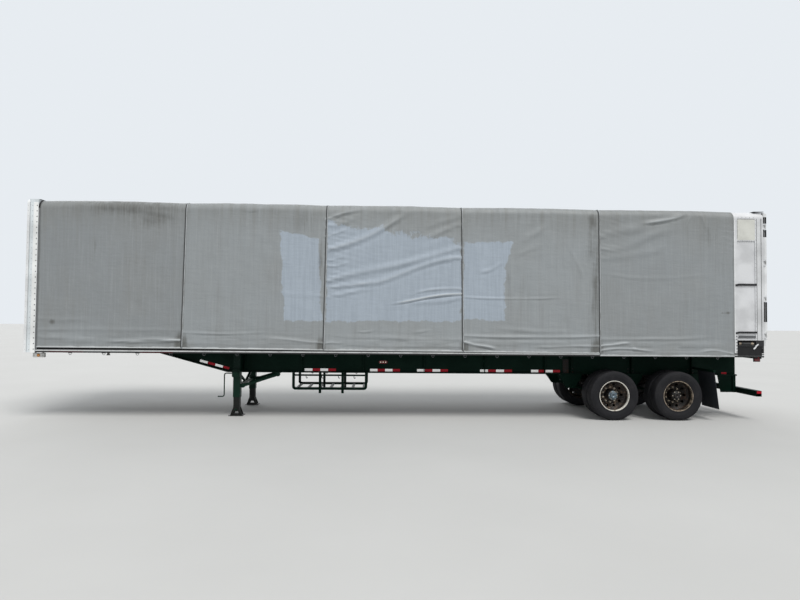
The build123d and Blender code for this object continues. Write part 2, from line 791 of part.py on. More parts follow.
# Equalizers: a rocker on a pin in each middle hanger, resting on the ends of both springs
equalizer_reach = 175.0
equalizer_tip = 25.0
equalizer_boss_radius = pivot_z - pad_z
pin_overhang = 20.0
pivot_pin_reach = hanger_gap / 2 + hanger_plate + pin_overhang
with BuildPart() as equalizers:
    with BuildSketch(side_plane(beam_y)):
        with BuildLine():
            Polyline(
                (hanger_xs[1] - equalizer_reach, pad_z),
                (hanger_xs[1] + equalizer_reach, pad_z),
                (hanger_xs[1] + equalizer_reach, pad_z + equalizer_tip),
                (hanger_xs[1], pivot_z + equalizer_boss_radius),
                (hanger_xs[1] - equalizer_reach, pad_z + equalizer_tip),
                close=True,
            )
        make_face()
        with Locations((hanger_xs[1], pivot_z)):
            Circle(equalizer_boss_radius)
    extrude(amount=spring_width / 2, both=True)
    with BuildSketch(side_plane(beam_y)):
        with Locations((hanger_xs[1], pivot_z)):
            Circle(pivot_pin_radius)
    extrude(amount=pivot_pin_reach, both=True)
    mirror(about=Plane.XZ)
save(equalizers.part, "equalizers")

# Leaf springs: three leaves to a pack, curving up from the seat on the axle to the hangers
leaf_thickness = 14.0
leaf_count = 3
spring_seat_height = 29.0
spring_span = 1000.0
leaf_spans = (1.0, 0.75, 0.5)
pack_top_z = axle_z + axle_radius + spring_seat_height + leaf_count * leaf_thickness
spring_rise = pad_z - pack_top_z - soft_gap
spring_radius = ((spring_span / 2) ** 2 + spring_rise**2) / (2 * spring_rise)
with BuildPart() as leaf_springs:
    for name, x in axles:
        for row, share in enumerate(leaf_spans):
            half_angle = degrees(asin(share * spring_span / 2 / spring_radius))
            inner_radius = spring_radius + row * leaf_thickness
            with BuildSketch(side_plane(beam_y)):
                with BuildLine():
                    centre = (x, pack_top_z + spring_radius)
                    top = CenterArc(centre, inner_radius, -90 - half_angle, 2 * half_angle)
                    low = CenterArc(
                        centre, inner_radius + leaf_thickness, -90 - half_angle, 2 * half_angle
                    )
                    Line(top @ 0, low @ 0)
                    Line(top @ 1, low @ 1)
                make_face()
            extrude(amount=spring_width / 2, both=True)
    mirror(about=Plane.XZ)
save(leaf_springs.part, "leaf_springs")

# Axles: a round beam with a spindle and a backing plate at each end and a seat under each spring
spindle_run = 284.0
spindle_reach = 136.0
backing_gap = 12.0
backing_thickness = 8.0
backing_radius = 200.0
drum_setback = 5.0
seat_length = 180.0
seat_drop = 60.0
hub_inner_y = dual_y - spindle_run
spindle_end_y = dual_y + spindle_reach
backing_y = hub_inner_y + drum_setback - backing_gap - backing_thickness
with BuildPart() as axle_beams:
    for name, x in axles:
        with BuildSketch(axle_plane(x)):
            with BuildLine():
                Polyline(
                    (0, 0),
                    (0, axle_radius),
                    (backing_y, axle_radius),
                    (backing_y, backing_radius),
                    (backing_y + backing_thickness, backing_radius),
                    (backing_y + backing_thickness, axle_radius),
                    (hub_inner_y, axle_radius),
                    (hub_inner_y, spindle_radius),
                    (spindle_end_y, spindle_radius),
                    (spindle_end_y, 0),
                    close=True,
                )
            make_face()
        revolve(axis=Axis((x, 0, axle_z), (0, 1, 0)))
        block(
            (x - seat_length / 2, x + seat_length / 2),
            (beam_y - spring_width / 2, beam_y + spring_width / 2),
            (axle_z - seat_drop, axle_z + axle_radius + spring_seat_height),
        )
    mirror(about=Plane.XZ)
save(axle_beams.part, "axle_beams")

# Radius rods: from a pin low in the first two hangers back to the seat of the axle behind
rod_radius = 20.0
rod_eye_radius = 34.0
rod_foot = 60.0
rod_foot_depth = 20.0
with BuildPart() as radius_rods:
    for hanger_x, (name, x) in zip(hanger_xs, axles):
        rod_head = Vector(hanger_x, beam_y, rod_pin_z)
        rod_tail = Vector(x - seat_length / 2 - rod_foot_depth, beam_y, axle_z)
        rod_run = rod_tail - rod_head
        with BuildSketch(Plane(origin=rod_head, x_dir=(0, 1, 0), z_dir=rod_run.normalized())):
            Circle(rod_radius)
        extrude(amount=rod_run.length)
        with BuildSketch(side_plane(beam_y)):
            with Locations((hanger_x, rod_pin_z)):
                Circle(rod_eye_radius)
        extrude(amount=spring_width / 2, both=True)
        with BuildSketch(side_plane(beam_y)):
            with Locations((hanger_x, rod_pin_z)):
                Circle(rod_pin_radius)
        extrude(amount=pivot_pin_reach, both=True)
        block(
            (rod_tail.X - rod_foot_depth / 2, x - seat_length / 2),
            (beam_y - rod_foot / 2, beam_y + rod_foot / 2),
            (axle_z - rod_foot / 2, axle_z + rod_foot / 2),
        )
    mirror(about=Plane.XZ)
save(radius_rods.part, "radius_rods")

# Brake chambers: a can on a bracket, its push rod, the slack arm and the cam shaft out to the drum
chamber_radius = 80.0
chamber_length = 150.0
chamber_band_radius = 88.0
chamber_band_width = 24.0
chamber_y = 300.0
cam_radius = 17.0
cam_rise = 25.0
cam_overhang = 40.0
slack_length = 140.0
slack_foot = 35.0
slack_head = 22.0
slack_thickness = 16.0
push_rod_radius = 8.0
push_rod_length = 90.0
bracket_thickness = 12.0
cam_z = axle_z + cam_rise
rod_z = cam_z + slack_length
bracket_y = chamber_y - cam_overhang
with BuildPart() as brake_chambers:
    for name, x in axles:
        cam_x = x + seat_length / 2 + cam_radius
        can_x = cam_x + push_rod_length
        with BuildSketch(side_plane(bracket_y)):
            with Locations((cam_x, cam_z)):
                Circle(cam_radius)
        extrude(amount=-(backing_y - bracket_y))
        with BuildSketch(side_plane(chamber_y)):
            with BuildLine():
                Polyline(
                    (cam_x - slack_foot, cam_z),
                    (cam_x + slack_foot, cam_z),
                    (cam_x + slack_head, rod_z),
                    (cam_x - slack_head, rod_z),
                    close=True,
                )
            make_face()
            with Locations((cam_x, cam_z)):
                Circle(slack_foot)
            with Locations((cam_x, rod_z)):
                Circle(slack_head)
        extrude(amount=slack_thickness / 2, both=True)
        with BuildSketch(Plane.YZ.offset(cam_x)):
            with Locations((chamber_y, rod_z)):
                Circle(push_rod_radius)
        extrude(amount=push_rod_length)
        with BuildSketch(Plane.YZ.offset(can_x)):
            with Locations((chamber_y, rod_z)):
                Circle(chamber_radius)
        extrude(amount=chamber_length)
        with BuildSketch(Plane.YZ.offset(can_x + (chamber_length - chamber_band_width) / 2)):
            with Locations((chamber_y, rod_z)):
                Circle(chamber_band_radius)
        extrude(amount=chamber_band_width)
        with BuildSketch(side_plane(bracket_y)):
            with BuildLine():
                Polyline(
                    (cam_x - cam_radius, cam_z - cam_radius),
                    (cam_x + cam_radius, cam_z - cam_radius),
                    (can_x, rod_z - chamber_radius / 2),
                    (can_x, rod_z + chamber_radius / 2),
                    (cam_x - cam_radius, cam_z + cam_radius),
                    close=True,
                )
            make_face()
        extrude(amount=-bracket_thickness)
    mirror(about=Plane.XZ)
save(brake_chambers.part, "brake_chambers")

# Air tanks: two drums across the trailer between the beams, hung on rails under the cross members
tank_radius = 115.0
tank_length = 760.0
tank_setback = 1500.0
tank_spacing = 320.0
tank_dome = 40.0
tank_rail_height = 25.0
tank_rail_width = 50.0
tank_rail_pitch = 400.0
tank_sink = 5.0
tank_x = front_axle_x - tank_setback
tank_z = beam_top_z - tank_rail_height - tank_radius + tank_sink
with BuildPart() as air_tanks:
    for x in (tank_x - tank_spacing / 2, tank_x + tank_spacing / 2):
        with BuildSketch(Plane.XZ):
            with Locations((x, tank_z)):
                Circle(tank_radius)
        extrude(amount=tank_length / 2, both=True)
    fillet(air_tanks.edges().filter_by(GeomType.CIRCLE), tank_dome)
    with BuildSketch(Plane.XY.offset(beam_top_z)):
        with Locations((tank_x, 0)):
            with GridLocations(1, tank_rail_pitch, 1, 2):
                Rectangle(tank_spacing + cross_member_pitch, tank_rail_width)
    extrude(amount=-tank_rail_height)
save(air_tanks.part, "air_tanks")

# Mud flap bars and flaps: a bar out from each beam, and a flap that hangs from it and trails rearwards
flap_setback = 678.0
flap_thickness = 8.0
flap_width = 600.0
flap_top_z = 930.0
flap_bottom_z = 224.0
flap_swing = 86.0
bar_size = 40.0
flap_x = rear_axle_x + flap_setback
with BuildPart() as mud_flap_bars:
    block(
        (flap_x - bar_size / 2, flap_x + bar_size / 2),
        (beam_y + web_thickness / 2, dual_y + flap_width / 2),
        (flap_top_z, flap_top_z + bar_size),
    )
    mirror(about=Plane.XZ)
save(mud_flap_bars.part, "mud_flap_bars")

with BuildPart() as mud_flaps:
    with BuildSketch(side_plane(dual_y)):
        with BuildLine():
            Polyline(
                (flap_x - flap_thickness / 2, flap_top_z),
                (flap_x + flap_thickness / 2, flap_top_z),
                (flap_x + flap_thickness / 2 + flap_swing, flap_bottom_z),
                (flap_x - flap_thickness / 2 + flap_swing, flap_bottom_z),
                close=True,
            )
        make_face()
    extrude(amount=flap_width / 2, both=True)
    mirror(about=Plane.XZ)
save(mud_flaps.part, "mud_flaps")

# Underride guard: a hollow bar low across the rear on plates and stays under the beams' ends
guard_bottom_z = 462.0
guard_height = 110.0
guard_depth = 100.0
guard_wall = 6.0
guard_setback = 95.0
guard_plate = 12.0
guard_plate_length = 370.0
guard_plate_foot = 300.0
guard_stay = 60.0
guard_half_width = half_width - guard_setback
with BuildPart() as underride_guard:
    with BuildSketch(Plane.XZ):
        with Locations((deck_rear_x - guard_depth / 2, guard_bottom_z + guard_height / 2)):
            Rectangle(guard_depth, guard_height)
            Rectangle(guard_depth - 2 * guard_wall, guard_height - 2 * guard_wall, mode=Mode.SUBTRACT)
    extrude(amount=guard_half_width, both=True)
    with BuildSketch(side_plane(beam_y)):
        with BuildLine():
            Polyline(
                (beam_rear_x - guard_plate_length, beam_bottom_z),
                (beam_rear_x, beam_bottom_z),
                (beam_rear_x, guard_bottom_z),
                (beam_rear_x - guard_plate_foot, guard_bottom_z),
                close=True,
            )
        make_face()
    extrude(amount=guard_plate / 2, both=True)
    block(
        (beam_rear_x - guard_plate_length, beam_rear_x),
        (beam_y - flange_width / 2, beam_y + flange_width / 2),
        (beam_bottom_z - guard_plate, beam_bottom_z),
    )
    block(
        (beam_rear_x - guard_stay, beam_rear_x),
        (beam_y - guard_stay / 2, beam_y + guard_stay / 2),
        (guard_bottom_z, beam_bottom_z - guard_plate),
    )
    mirror(about=Plane.XZ)
save(underride_guard.part, "underride_guard")

# Lamps: three round tail lamps a side on the sill and an oval marker lamp on each beam
lamp_radius = 50.0
lamp_rim = 42.0
lamp_depth = 20.0
lamp_lens_depth = 12.0
lamp_pitch = 120.0
lamp_setback = 395.0
lamp_drop = 105.0
marker_setback = 6400.0
marker_rise = 215.0
marker_length = 170.0
marker_height = 60.0
marker_depth = 25.0
lamp_y = half_width - lamp_setback
lamp_z = floor_bottom_z - lamp_drop
marker_x = deck_front_x + marker_setback
marker_z = beam_bottom_z + marker_rise
with BuildPart() as tail_lamps:
    for radius, depth in ((lamp_radius, lamp_lens_depth), (lamp_rim, lamp_depth)):
        with BuildSketch(Plane.YZ.offset(deck_rear_x)):
            with Locations((lamp_y, lamp_z)):
                with GridLocations(lamp_pitch, 1, 3, 1):
                    Circle(radius)
        extrude(amount=depth)
    mirror(about=Plane.XZ)
save(tail_lamps.part, "tail_lamps")

with BuildPart() as marker_lamps:
    with BuildSketch(side_plane(beam_y + web_thickness / 2)):
        with Locations((marker_x, marker_z)):
            SlotOverall(marker_length, marker_height)
    extrude(amount=-marker_depth)
    mirror(about=Plane.XZ)
save(marker_lamps.part, "marker_lamps")

# Air couplings: two round couplings and a socket in the bulkhead's face
coupling_z = 1330.0
coupling_radius = 30.0
coupling_pitch = 200.0
coupling_depth = 60.0
with BuildPart() as air_couplings:
    with BuildSketch(Plane.YZ.offset(sheet_inner_x)):
        with Locations((0, coupling_z)):
            with GridLocations(coupling_pitch, 1, 3, 1):
                Circle(coupling_radius)
    extrude(amount=coupling_depth)
save(air_couplings.part, "air_couplings")

# Front bow: fixed against the bulkhead's flange, with a foot on each side rail
with BuildPart() as bow_front:
    add(
        hoop(
            deck_front_x,
            bow_width,
            bow_outer_y,
            bow_top_z,
            deck_top_z + carriage_depth,
            bow_corner,
            bow_depth,
        )
    )
    for side in (-1, 1):
        block(
            (deck_front_x, deck_front_x + bow_width),
            sorted((side * rail_inner_y, side * bow_outer_y)),
            (deck_top_z, deck_top_z + carriage_depth),
        )
save(bow_front.part, "bow_front")

# Rolling bows: one at each seam between the bays
cover_front_x = deck_front_x + bow_width / 2
bay_length = (frame_front_x - cover_front_x) / bay_count
for number in range(1, bay_count):
    centre_x = cover_front_x + number * bay_length
    with BuildPart() as bow:
        foot = carriage(
            centre_x - roller_pitch / 2 - carriage_overhang,
            centre_x + roller_pitch / 2 + carriage_overhang,
            (centre_x - roller_pitch / 2, centre_x + roller_pitch / 2),
        )
        add(
            hoop(
                centre_x - bow_width / 2,
                bow_width,
                bow_outer_y,
                bow_top_z,
                carriage_top_z - carriage_depth / 2,
                bow_corner,
                bow_depth,
            )
        )
        add(foot)
        add(foot.mirror(Plane.XZ))
    save(bow.part, f"bow_{number}")

# Tarp cover: the whole fabric, from the front bow to the rear frame
with BuildPart() as tarp_cover:
    add(
        hoop(
            cover_front_x,
            frame_front_x - cover_end_gap - cover_front_x,
            cover_outer_y,
            roof_z,
            cover_hem_z,
            cover_corner,
            cover_thickness,
        )
    )
save(tarp_cover.part, "tarp_cover")

# Rear frame: two hoops on long carriages, with the hinge brackets of the doors
ears = ((-bracket_half, -knuckle_half - knuckle_gap), (knuckle_half + knuckle_gap, bracket_half))
with BuildPart() as rear_frame:
    foot = carriage(
        frame_front_x,
        deck_rear_x,
        (frame_front_x + 2 * roller_radius, deck_rear_x - 2 * roller_radius),
    )
    for x, width in ((frame_front_x, frame_post_width), (rear_post_x, frame_rear_post_width)):
        add(
            hoop(
                x,
                width,
                bow_outer_y,
                bow_top_z,
                carriage_top_z - carriage_depth / 2,
                bow_corner,
                bow_depth,
            )
        )
    add(foot)
    add(foot.mirror(Plane.XZ))
    for side in (-1, 1):
        for z in hinge_heights:
            for low, high in ears:
                block(
                    (rear_post_x, pin_axis_x),
                    sorted((side * (bow_outer_y - knuckle_radius), side * bow_outer_y)),
                    (z + low, z + high),
                )
                with BuildSketch(Plane.XY.offset(z + low)):
                    with Locations((pin_axis_x, side * pin_axis_y)):
                        Circle(knuckle_radius)
                extrude(amount=high - low)
            with BuildSketch(Plane.XY.offset(z - bracket_half)):
                with Locations((pin_axis_x, side * pin_axis_y)):
                    Circle(door_pin_radius)
            extrude(amount=2 * bracket_half)
save(rear_frame.part, "rear_frame")

# Rear frame skin: a sheet over both hoops, with a recessed side panel behind rails between the posts
window_height = 106.0
panel_head_gap = 140.0
panel_recess = 8.0
window_top_z = deck_top_z + window_height
panel_top_z = roof_z - panel_head_gap
panel_rails = (
    # height above the window, rail height
    (0.0, 34.0),
    (77.0, 28.0),
    (154.0, 20.0),
    (1071.0, 24.0),
    (1928.0, 40.0),
)
with BuildPart() as rear_frame_skin:
    add(
        hoop(
            frame_front_x,
            rear_frame_depth,
            bow_outer_y + frame_skin,
            bow_top_z + frame_skin,
            window_top_z,
            bow_corner + frame_skin,
            frame_skin,
        )
    )
    for side in (-1, 1):
        block(
            (frame_front_x, panel_front_x),
            sorted((side * bow_outer_y, side * (bow_outer_y + frame_skin))),
            (cover_hem_z, window_top_z),
        )
        block(
            (panel_front_x + frame_skin, rear_post_x - frame_skin),
            sorted((side * bow_outer_y, side * half_width)),
            (window_top_z, panel_top_z),
            mode=Mode.SUBTRACT,
        )
        block(
            (panel_front_x, rear_post_x),
            sorted((side * (bow_outer_y - panel_recess - frame_skin), side * bow_outer_y)),
            (window_top_z, panel_top_z + frame_skin),
        )
        block(
            (panel_front_x + frame_skin, rear_post_x - frame_skin),
            sorted((side * (bow_outer_y - panel_recess), side * bow_outer_y)),
            (window_top_z, panel_top_z),
            mode=Mode.SUBTRACT,
        )
        for rise, height in panel_rails:
            block(
                (panel_front_x, rear_post_x),
                sorted((side * (bow_outer_y - panel_recess), side * (bow_outer_y + frame_skin))),
                (window_top_z + rise, window_top_z + rise + height),
            )
save(rear_frame_skin.part, "rear_frame_skin")

# Tension gear: on each carriage a skirt outside the track, a roller between two stands and a lever
tension_roller_radius = 26.0
tension_stand = 12.0
tension_stand_width = 56.0
tension_inset = 30.0
lever_length = 120.0
lever_width = 18.0
lever_thickness = 6.0
lever_angle = 50.0
lever_inset = 70.0
tension_y = bow_outer_y - tension_stand_width / 2
tension_z = carriage_top_z + tension_roller_radius
with BuildPart() as tension_levers:
    block(
        (panel_front_x, deck_rear_x),
        (carriage_plate_y + carriage_plate, bow_outer_y),
        (cover_hem_z, carriage_top_z - carriage_depth),
    )
    with BuildSketch(side_plane(bow_outer_y)):
        with Locations((rear_post_x + lever_inset, carriage_top_z - lever_length / 2)):
            Rectangle(lever_length, lever_width, rotation=lever_angle)
    extrude(amount=-lever_thickness)
    with BuildSketch(Plane.YZ.offset(panel_front_x + tension_inset)):
        with Locations((tension_y, tension_z)):
            Circle(tension_roller_radius)
    extrude(amount=rear_post_x - panel_front_x - 2 * tension_inset)
    for x in (panel_front_x + tension_inset, rear_post_x - tension_inset):
        block(
            (x - tension_stand / 2, x + tension_stand / 2),
            (tension_y - tension_stand_width / 2, tension_y + tension_stand_width / 2),
            (carriage_top_z, tension_z + tension_stand_width / 2),
        )
    mirror(about=Plane.XZ)
save(tension_levers.part, "tension_levers")

# Rear doors: a framed leaf with three recessed panels, its hinges, and two lock rods with handles
panel_count = 3
panel_margin = 90.0
panel_depth = 10.0
rod_offsets = (110.0, 830.0)
lock_rod_radius = 12.0
rod_end_gap = 20.0
rod_front_gap = 8.0
clamp_half_width = 30.0
clamp_half_height = 20.0
clamp_offsets = (40.0, 700.0)
handle_rise = 560.0
handle_length = 250.0
handle_height = 26.0
handle_thickness = 10.0
keeper_length = 40.0
leaf_width = door_outer_y - door_half_gap
leaf_height = door_top_z - door_bottom_z
leaf_y = (door_half_gap + door_outer_y) / 2
leaf_z = (door_bottom_z + door_top_z) / 2
panel_pitch = (leaf_height - panel_margin) / panel_count
rod_x = door_rear_x + lock_gear_depth - rod_front_gap - lock_rod_radius
clamp_heights = [door_bottom_z + offset for offset in clamp_offsets]
clamp_heights += [door_top_z - offset for offset in clamp_offsets]
for name, side in sides:
    with BuildPart() as rear_door:
        with BuildSketch(Plane.YZ.offset(door_front_x)):
            with Locations((side * leaf_y, leaf_z)):
                Rectangle(leaf_width, leaf_height)
        extrude(amount=door_thickness)
        with BuildSketch(Plane.YZ.offset(door_front_x)):
            with Locations((side * leaf_y, leaf_z)):
                with GridLocations(1, panel_pitch, 1, panel_count):
                    Rectangle(leaf_width - 2 * panel_margin, panel_pitch - panel_margin)
        extrude(amount=panel_depth, mode=Mode.SUBTRACT)
    save(rear_door.part, f"rear_door_{name}")

    with BuildPart() as rear_door_gear:
        for z in hinge_heights:
            block(
                (door_rear_x, door_rear_x + strap_thickness),
                sorted((side * pin_axis_y, side * (pin_axis_y - strap_length))),
                (z - knuckle_half, z + knuckle_half),
            )
            with BuildSketch(Plane.XY.offset(z - knuckle_half)):
                with Locations((pin_axis_x, side * pin_axis_y)):
                    Circle(knuckle_radius)
            extrude(amount=2 * knuckle_half)
            with BuildSketch(Plane.XY.offset(z - knuckle_half)):
                with Locations((pin_axis_x, side * pin_axis_y)):
                    Circle(door_pin_radius + bearing_clearance)
            extrude(amount=2 * knuckle_half, mode=Mode.SUBTRACT)
        for offset in rod_offsets:
            rod_y = side * (door_half_gap + offset)
            with BuildSketch(Plane.XY.offset(door_bottom_z + rod_end_gap)):
                with Locations((rod_x, rod_y)):
                    Circle(lock_rod_radius)
            extrude(amount=leaf_height - 2 * rod_end_gap)
            for z in clamp_heights:
                block(
                    (door_rear_x, door_rear_x + lock_gear_depth),
                    (rod_y - clamp_half_width, rod_y + clamp_half_width),
                    (z - clamp_half_height, z + clamp_half_height),
                )
            handle_z = door_bottom_z + handle_rise
            handle_end_y = rod_y + side * handle_length
            block(
                (rod_x - handle_thickness / 2, rod_x + handle_thickness / 2),
                sorted((rod_y, handle_end_y)),
                (handle_z - handle_height / 2, handle_z + handle_height / 2),
            )
            block(
                (door_rear_x, rod_x),
                sorted((handle_end_y, handle_end_y - side * keeper_length)),
                (handle_z - keeper_length / 2, handle_z + keeper_length / 2),
            )
    save(rear_door_gear.part, f"rear_door_gear_{name}")

# Wheels: on each side of each axle two tyres on disc rims, back to back on one hub and drum
disc_thickness = 11.0
disc_setback = 60.0
disc_inner_flat = 30.0
disc_outer_flat = 26.0
stud_circle_radius = 142.9
hub_bore_radius = 110.0
drum_radius = 210.0
drum_width = 200.0
drum_face_radius = 160.0
hub_radius = 108.0
hub_taper = 15.0
hub_run = 166.0
hub_end_gap = 5.0
hand_holes = 10
hand_hole_radius = 26.0
hand_hole_circle = 212.0
tread_half = tyre_width / 2
bead_half = rim_width / 2 - rim_wall
tyre_profile = (
    # half width, radius
    (bead_half, bead_radius),
    (bead_half, bead_radius + flange_rise + 1),
    (tread_half - 4, bead_radius + 55),
    (tread_half, bead_radius + 95),
    (tread_half - 10, tyre_radius - 25),
    (tread_half - 32, tyre_radius),
)
drum_inner_y = hub_inner_y + drum_setback
drum_outer_y = drum_inner_y + drum_width
hub_end_y = dual_y + hub_run
hub_flange_y = dual_y - disc_thickness - soft_gap
bore_radius = spindle_radius + bearing_clearance
for name, x in axles:
    spin = Axis((x, 0, axle_z), (0, 1, 0))
    for side_name, side in sides:
        with BuildPart() as tyres:
            for centre in (dual_y - dual_spacing / 2, dual_y + dual_spacing / 2):
                with BuildSketch(axle_plane(x)):
                    with BuildLine():
                        Polyline(
                            *[(side * centre - y, r) for y, r in tyre_profile],
                            *[(side * centre + y, r) for y, r in reversed(tyre_profile)],
                            close=True,
                        )
                    make_face()
                revolve(axis=spin)
        save(tyres.part, f"tyres_{name}_{side_name}")

        with BuildPart() as rims:
            for outward in (-1, 1):
                centre = dual_y + outward * dual_spacing / 2
                half = rim_width / 2
                seat = half - rim_wall + soft_gap
                with BuildSketch(axle_plane(x)):
                    with BuildLine():
                        Polyline(
                            (side * (centre - half), bead_radius + flange_rise),
                            (side * (centre - seat), bead_radius + flange_rise),
                            (side * (centre - seat), bead_radius - soft_gap),
                            (side * (centre + seat), bead_radius - soft_gap),
                            (side * (centre + seat), bead_radius + flange_rise),
                            (side * (centre + half), bead_radius + flange_rise),
                            (side * (centre + half), bead_radius - rim_wall),
                            (side * (centre - half), bead_radius - rim_wall),
                            close=True,
                        )
                    make_face()
                revolve(axis=spin)
                rim_end = centre - outward * disc_setback
                face = dual_y + outward * disc_thickness
                with BuildSketch(axle_plane(x)):
                    with BuildLine():
                        Polyline(
                            (side * dual_y, hub_bore_radius),
                            (side * dual_y, stud_circle_radius + disc_inner_flat),
                            (side * rim_end, bead_radius - rim_wall / 2),
                            (side * (rim_end + outward * disc_thickness), bead_radius - rim_wall / 2),
                            (side * face, stud_circle_radius + disc_outer_flat),
                            (side * face, hub_bore_radius),
                            close=True,
                        )
                    make_face()
                revolve(axis=spin)
            with BuildSketch(side_plane(side * dual_y)):
                with Locations((x, axle_z)):
                    with PolarLocations(hand_hole_circle, hand_holes):
                        Circle(hand_hole_radius)
            extrude(amount=dual_spacing / 2, both=True, mode=Mode.SUBTRACT)
        save(rims.part, f"rims_{name}_{side_name}")

        with BuildPart() as hub:
            with BuildSketch(axle_plane(x)):
                with BuildLine():
                    Polyline(
                        (side * drum_inner_y, bore_radius),
                        (side * drum_inner_y, drum_radius),
                        (side * drum_outer_y, drum_radius),
                        (side * drum_outer_y, drum_face_radius),
                        (side * hub_flange_y, drum_face_radius),
                        (side * hub_flange_y, hub_radius),
                        (side * hub_end_y, hub_radius - hub_taper),
                        (side * hub_end_y, 0),
                        (side * (spindle_end_y + hub_end_gap), 0),
                        (side * (spindle_end_y + hub_end_gap), bore_radius),
                        close=True,
                    )
                make_face()
            revolve(axis=spin)
        save(hub.part, f"hub_{name}_{side_name}")
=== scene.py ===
import json
import math

import bmesh
import bpy
import numpy as np
from mathutils import Matrix, Vector


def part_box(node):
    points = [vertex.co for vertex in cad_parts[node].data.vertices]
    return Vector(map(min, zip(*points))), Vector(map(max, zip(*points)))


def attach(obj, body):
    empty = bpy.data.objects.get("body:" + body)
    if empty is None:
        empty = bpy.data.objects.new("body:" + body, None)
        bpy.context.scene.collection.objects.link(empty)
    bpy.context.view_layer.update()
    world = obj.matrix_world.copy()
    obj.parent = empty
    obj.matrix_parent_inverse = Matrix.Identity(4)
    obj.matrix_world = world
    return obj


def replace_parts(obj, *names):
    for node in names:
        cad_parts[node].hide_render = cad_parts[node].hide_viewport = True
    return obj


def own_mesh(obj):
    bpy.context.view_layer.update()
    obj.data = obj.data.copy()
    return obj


# A flatbed semi trailer under a sliding tarp cover, in metres.
# X runs rearwards, Y to the trailer's right and Z up from the ground.
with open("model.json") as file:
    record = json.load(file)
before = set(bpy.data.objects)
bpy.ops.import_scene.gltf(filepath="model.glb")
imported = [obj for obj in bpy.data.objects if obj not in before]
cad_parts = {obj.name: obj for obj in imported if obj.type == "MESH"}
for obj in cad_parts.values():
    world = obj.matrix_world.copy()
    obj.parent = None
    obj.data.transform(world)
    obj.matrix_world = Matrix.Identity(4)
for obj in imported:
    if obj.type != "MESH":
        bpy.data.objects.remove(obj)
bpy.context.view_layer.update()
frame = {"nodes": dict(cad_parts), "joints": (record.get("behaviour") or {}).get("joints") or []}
nodes = frame["nodes"]

# Places read from the frame
cover_low, cover_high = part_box("tarp_cover")
track_low, track_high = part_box("tarp_tracks")
bulk_low, bulk_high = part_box("bulkhead_skin")
skin_low, skin_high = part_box("rear_frame_skin")
door_low, door_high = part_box("rear_door_left")
tank_low, tank_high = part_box("air_tanks")
guard_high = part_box("underride_guard")[1]
rack_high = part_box("dunnage_rack")[1]
flap_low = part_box("mud_flaps")[0]
foot_low, foot_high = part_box("landing_leg_feet")
lamp_low, lamp_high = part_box("tail_lamps")
marker_low, marker_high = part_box("marker_lamps")

SIDES = (("left", -1), ("right", 1))
axle_x = {}
for axle in ("front", "rear"):
    tyre_low, tyre_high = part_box(f"tyres_{axle}_left")
    axle_x[axle] = (tyre_low.x + tyre_high.x) / 2
tyre_radius = (tyre_high.z - tyre_low.z) / 2
axle_z = tyre_radius
dual_spacing = 0.290
dual_y = -(tyre_low.y + tyre_high.y) / 2

# Camera of the photograph: place, turns and lens
camera_place = (-0.5345, -12.5017, 1.9012)
camera_yaw = 0.0384
camera_pitch = 0.0314
camera_roll = 0.0095
focal_pixels = 596.3
picture_width = 800
sensor_width = 36.0

# The tarp: its bays and mesh, each seam's lean from foot to roof, and each hem's drops, front and rear
bay_count = 5
cover_corner = 0.150
cloth_wall = 0.003
rows_per_bay = 90
side_columns = 168
corner_columns = 8
roof_columns = 28
bow_half = 0.030
carriage_half = 0.175
carriage_z = 1.449
bay_length = (cover_high.x - cover_low.x) / bay_count
seam_lean = (0.0, 0.045, 0.038, -0.035, -0.017, 0.0)
hem_foot = cover_low.z + 0.022
hem_drops = ((0.000, 0.003), (0.006, 0.020), (0.022, 0.027), (0.030, 0.044), (0.088, 0.083))
seam_foot = [cover_low.x + bay_length * n for n in range(bay_count + 1)]
# Numbers kept at each point of the cloth
TARP_LABELS = ("washed", "seam", "grime", "tone", "hem", "crease")

# Slid forward, the cover keeps this share of its length
slide_joint = next(joint for joint in frame["joints"] if joint["name"] == "cover_slide")
cover_keep = 1 - slide_joint["range_m"][1] / (cover_high.x - cover_low.x)

# Places on the steel work, and the forms of six-sided heads: sides, waist and shoulder
web_face = 0.500
bulkhead_corner = 0.080
post_front = (skin_low.x, skin_low.x + 0.060)
post_rear = (skin_high.x - 0.160, skin_high.x)
panel_foot = 1.536
stud_circle = 0.1429
OUT = (0, 1, 0)
HEX = (6, 0.95, 0.95)
FLAT_HEX = (6, 0.9, 1.0)


# Shapes: each is a pair of an array of points and a list of faces

def grid_shape(points, around_rows=False, around_columns=False):
    """A grid of points (rows, columns, 3) as quads between neighbours, closed round either way if asked."""
    rows, columns = points.shape[:2]
    r = np.arange(rows if around_rows else rows - 1)
    c = np.arange(columns if around_columns else columns - 1)
    a, b = np.meshgrid(r, c, indexing="ij")
    a2, b2 = (a + 1) % rows, (b + 1) % columns
    quads = np.stack([a * columns + b, a2 * columns + b, a2 * columns + b2, a * columns + b2], -1)
    return points.reshape(-1, 3), quads.reshape(-1, 4).tolist()


def capped(points):
    """A grid closed round its columns, with a flat face over its first and over its last row."""
    rows, columns = points.shape[:2]
    flat, faces = grid_shape(points, around_columns=True)
    last = (rows - 1) * columns
    faces.append(list(range(columns)))
    faces.append([last + i for i in reversed(range(columns))])
    return flat, faces


def joined(shapes):
    """Several shapes as one: their points in a row, each shape's faces counted on from the last."""
    points, faces, start = [], [], 0
    for part_points, part_faces in shapes:
        points.append(np.asarray(part_points, float))
        faces += [[start + i for i in face] for face in part_faces]
        start += len(part_points)
    return np.concatenate(points), faces


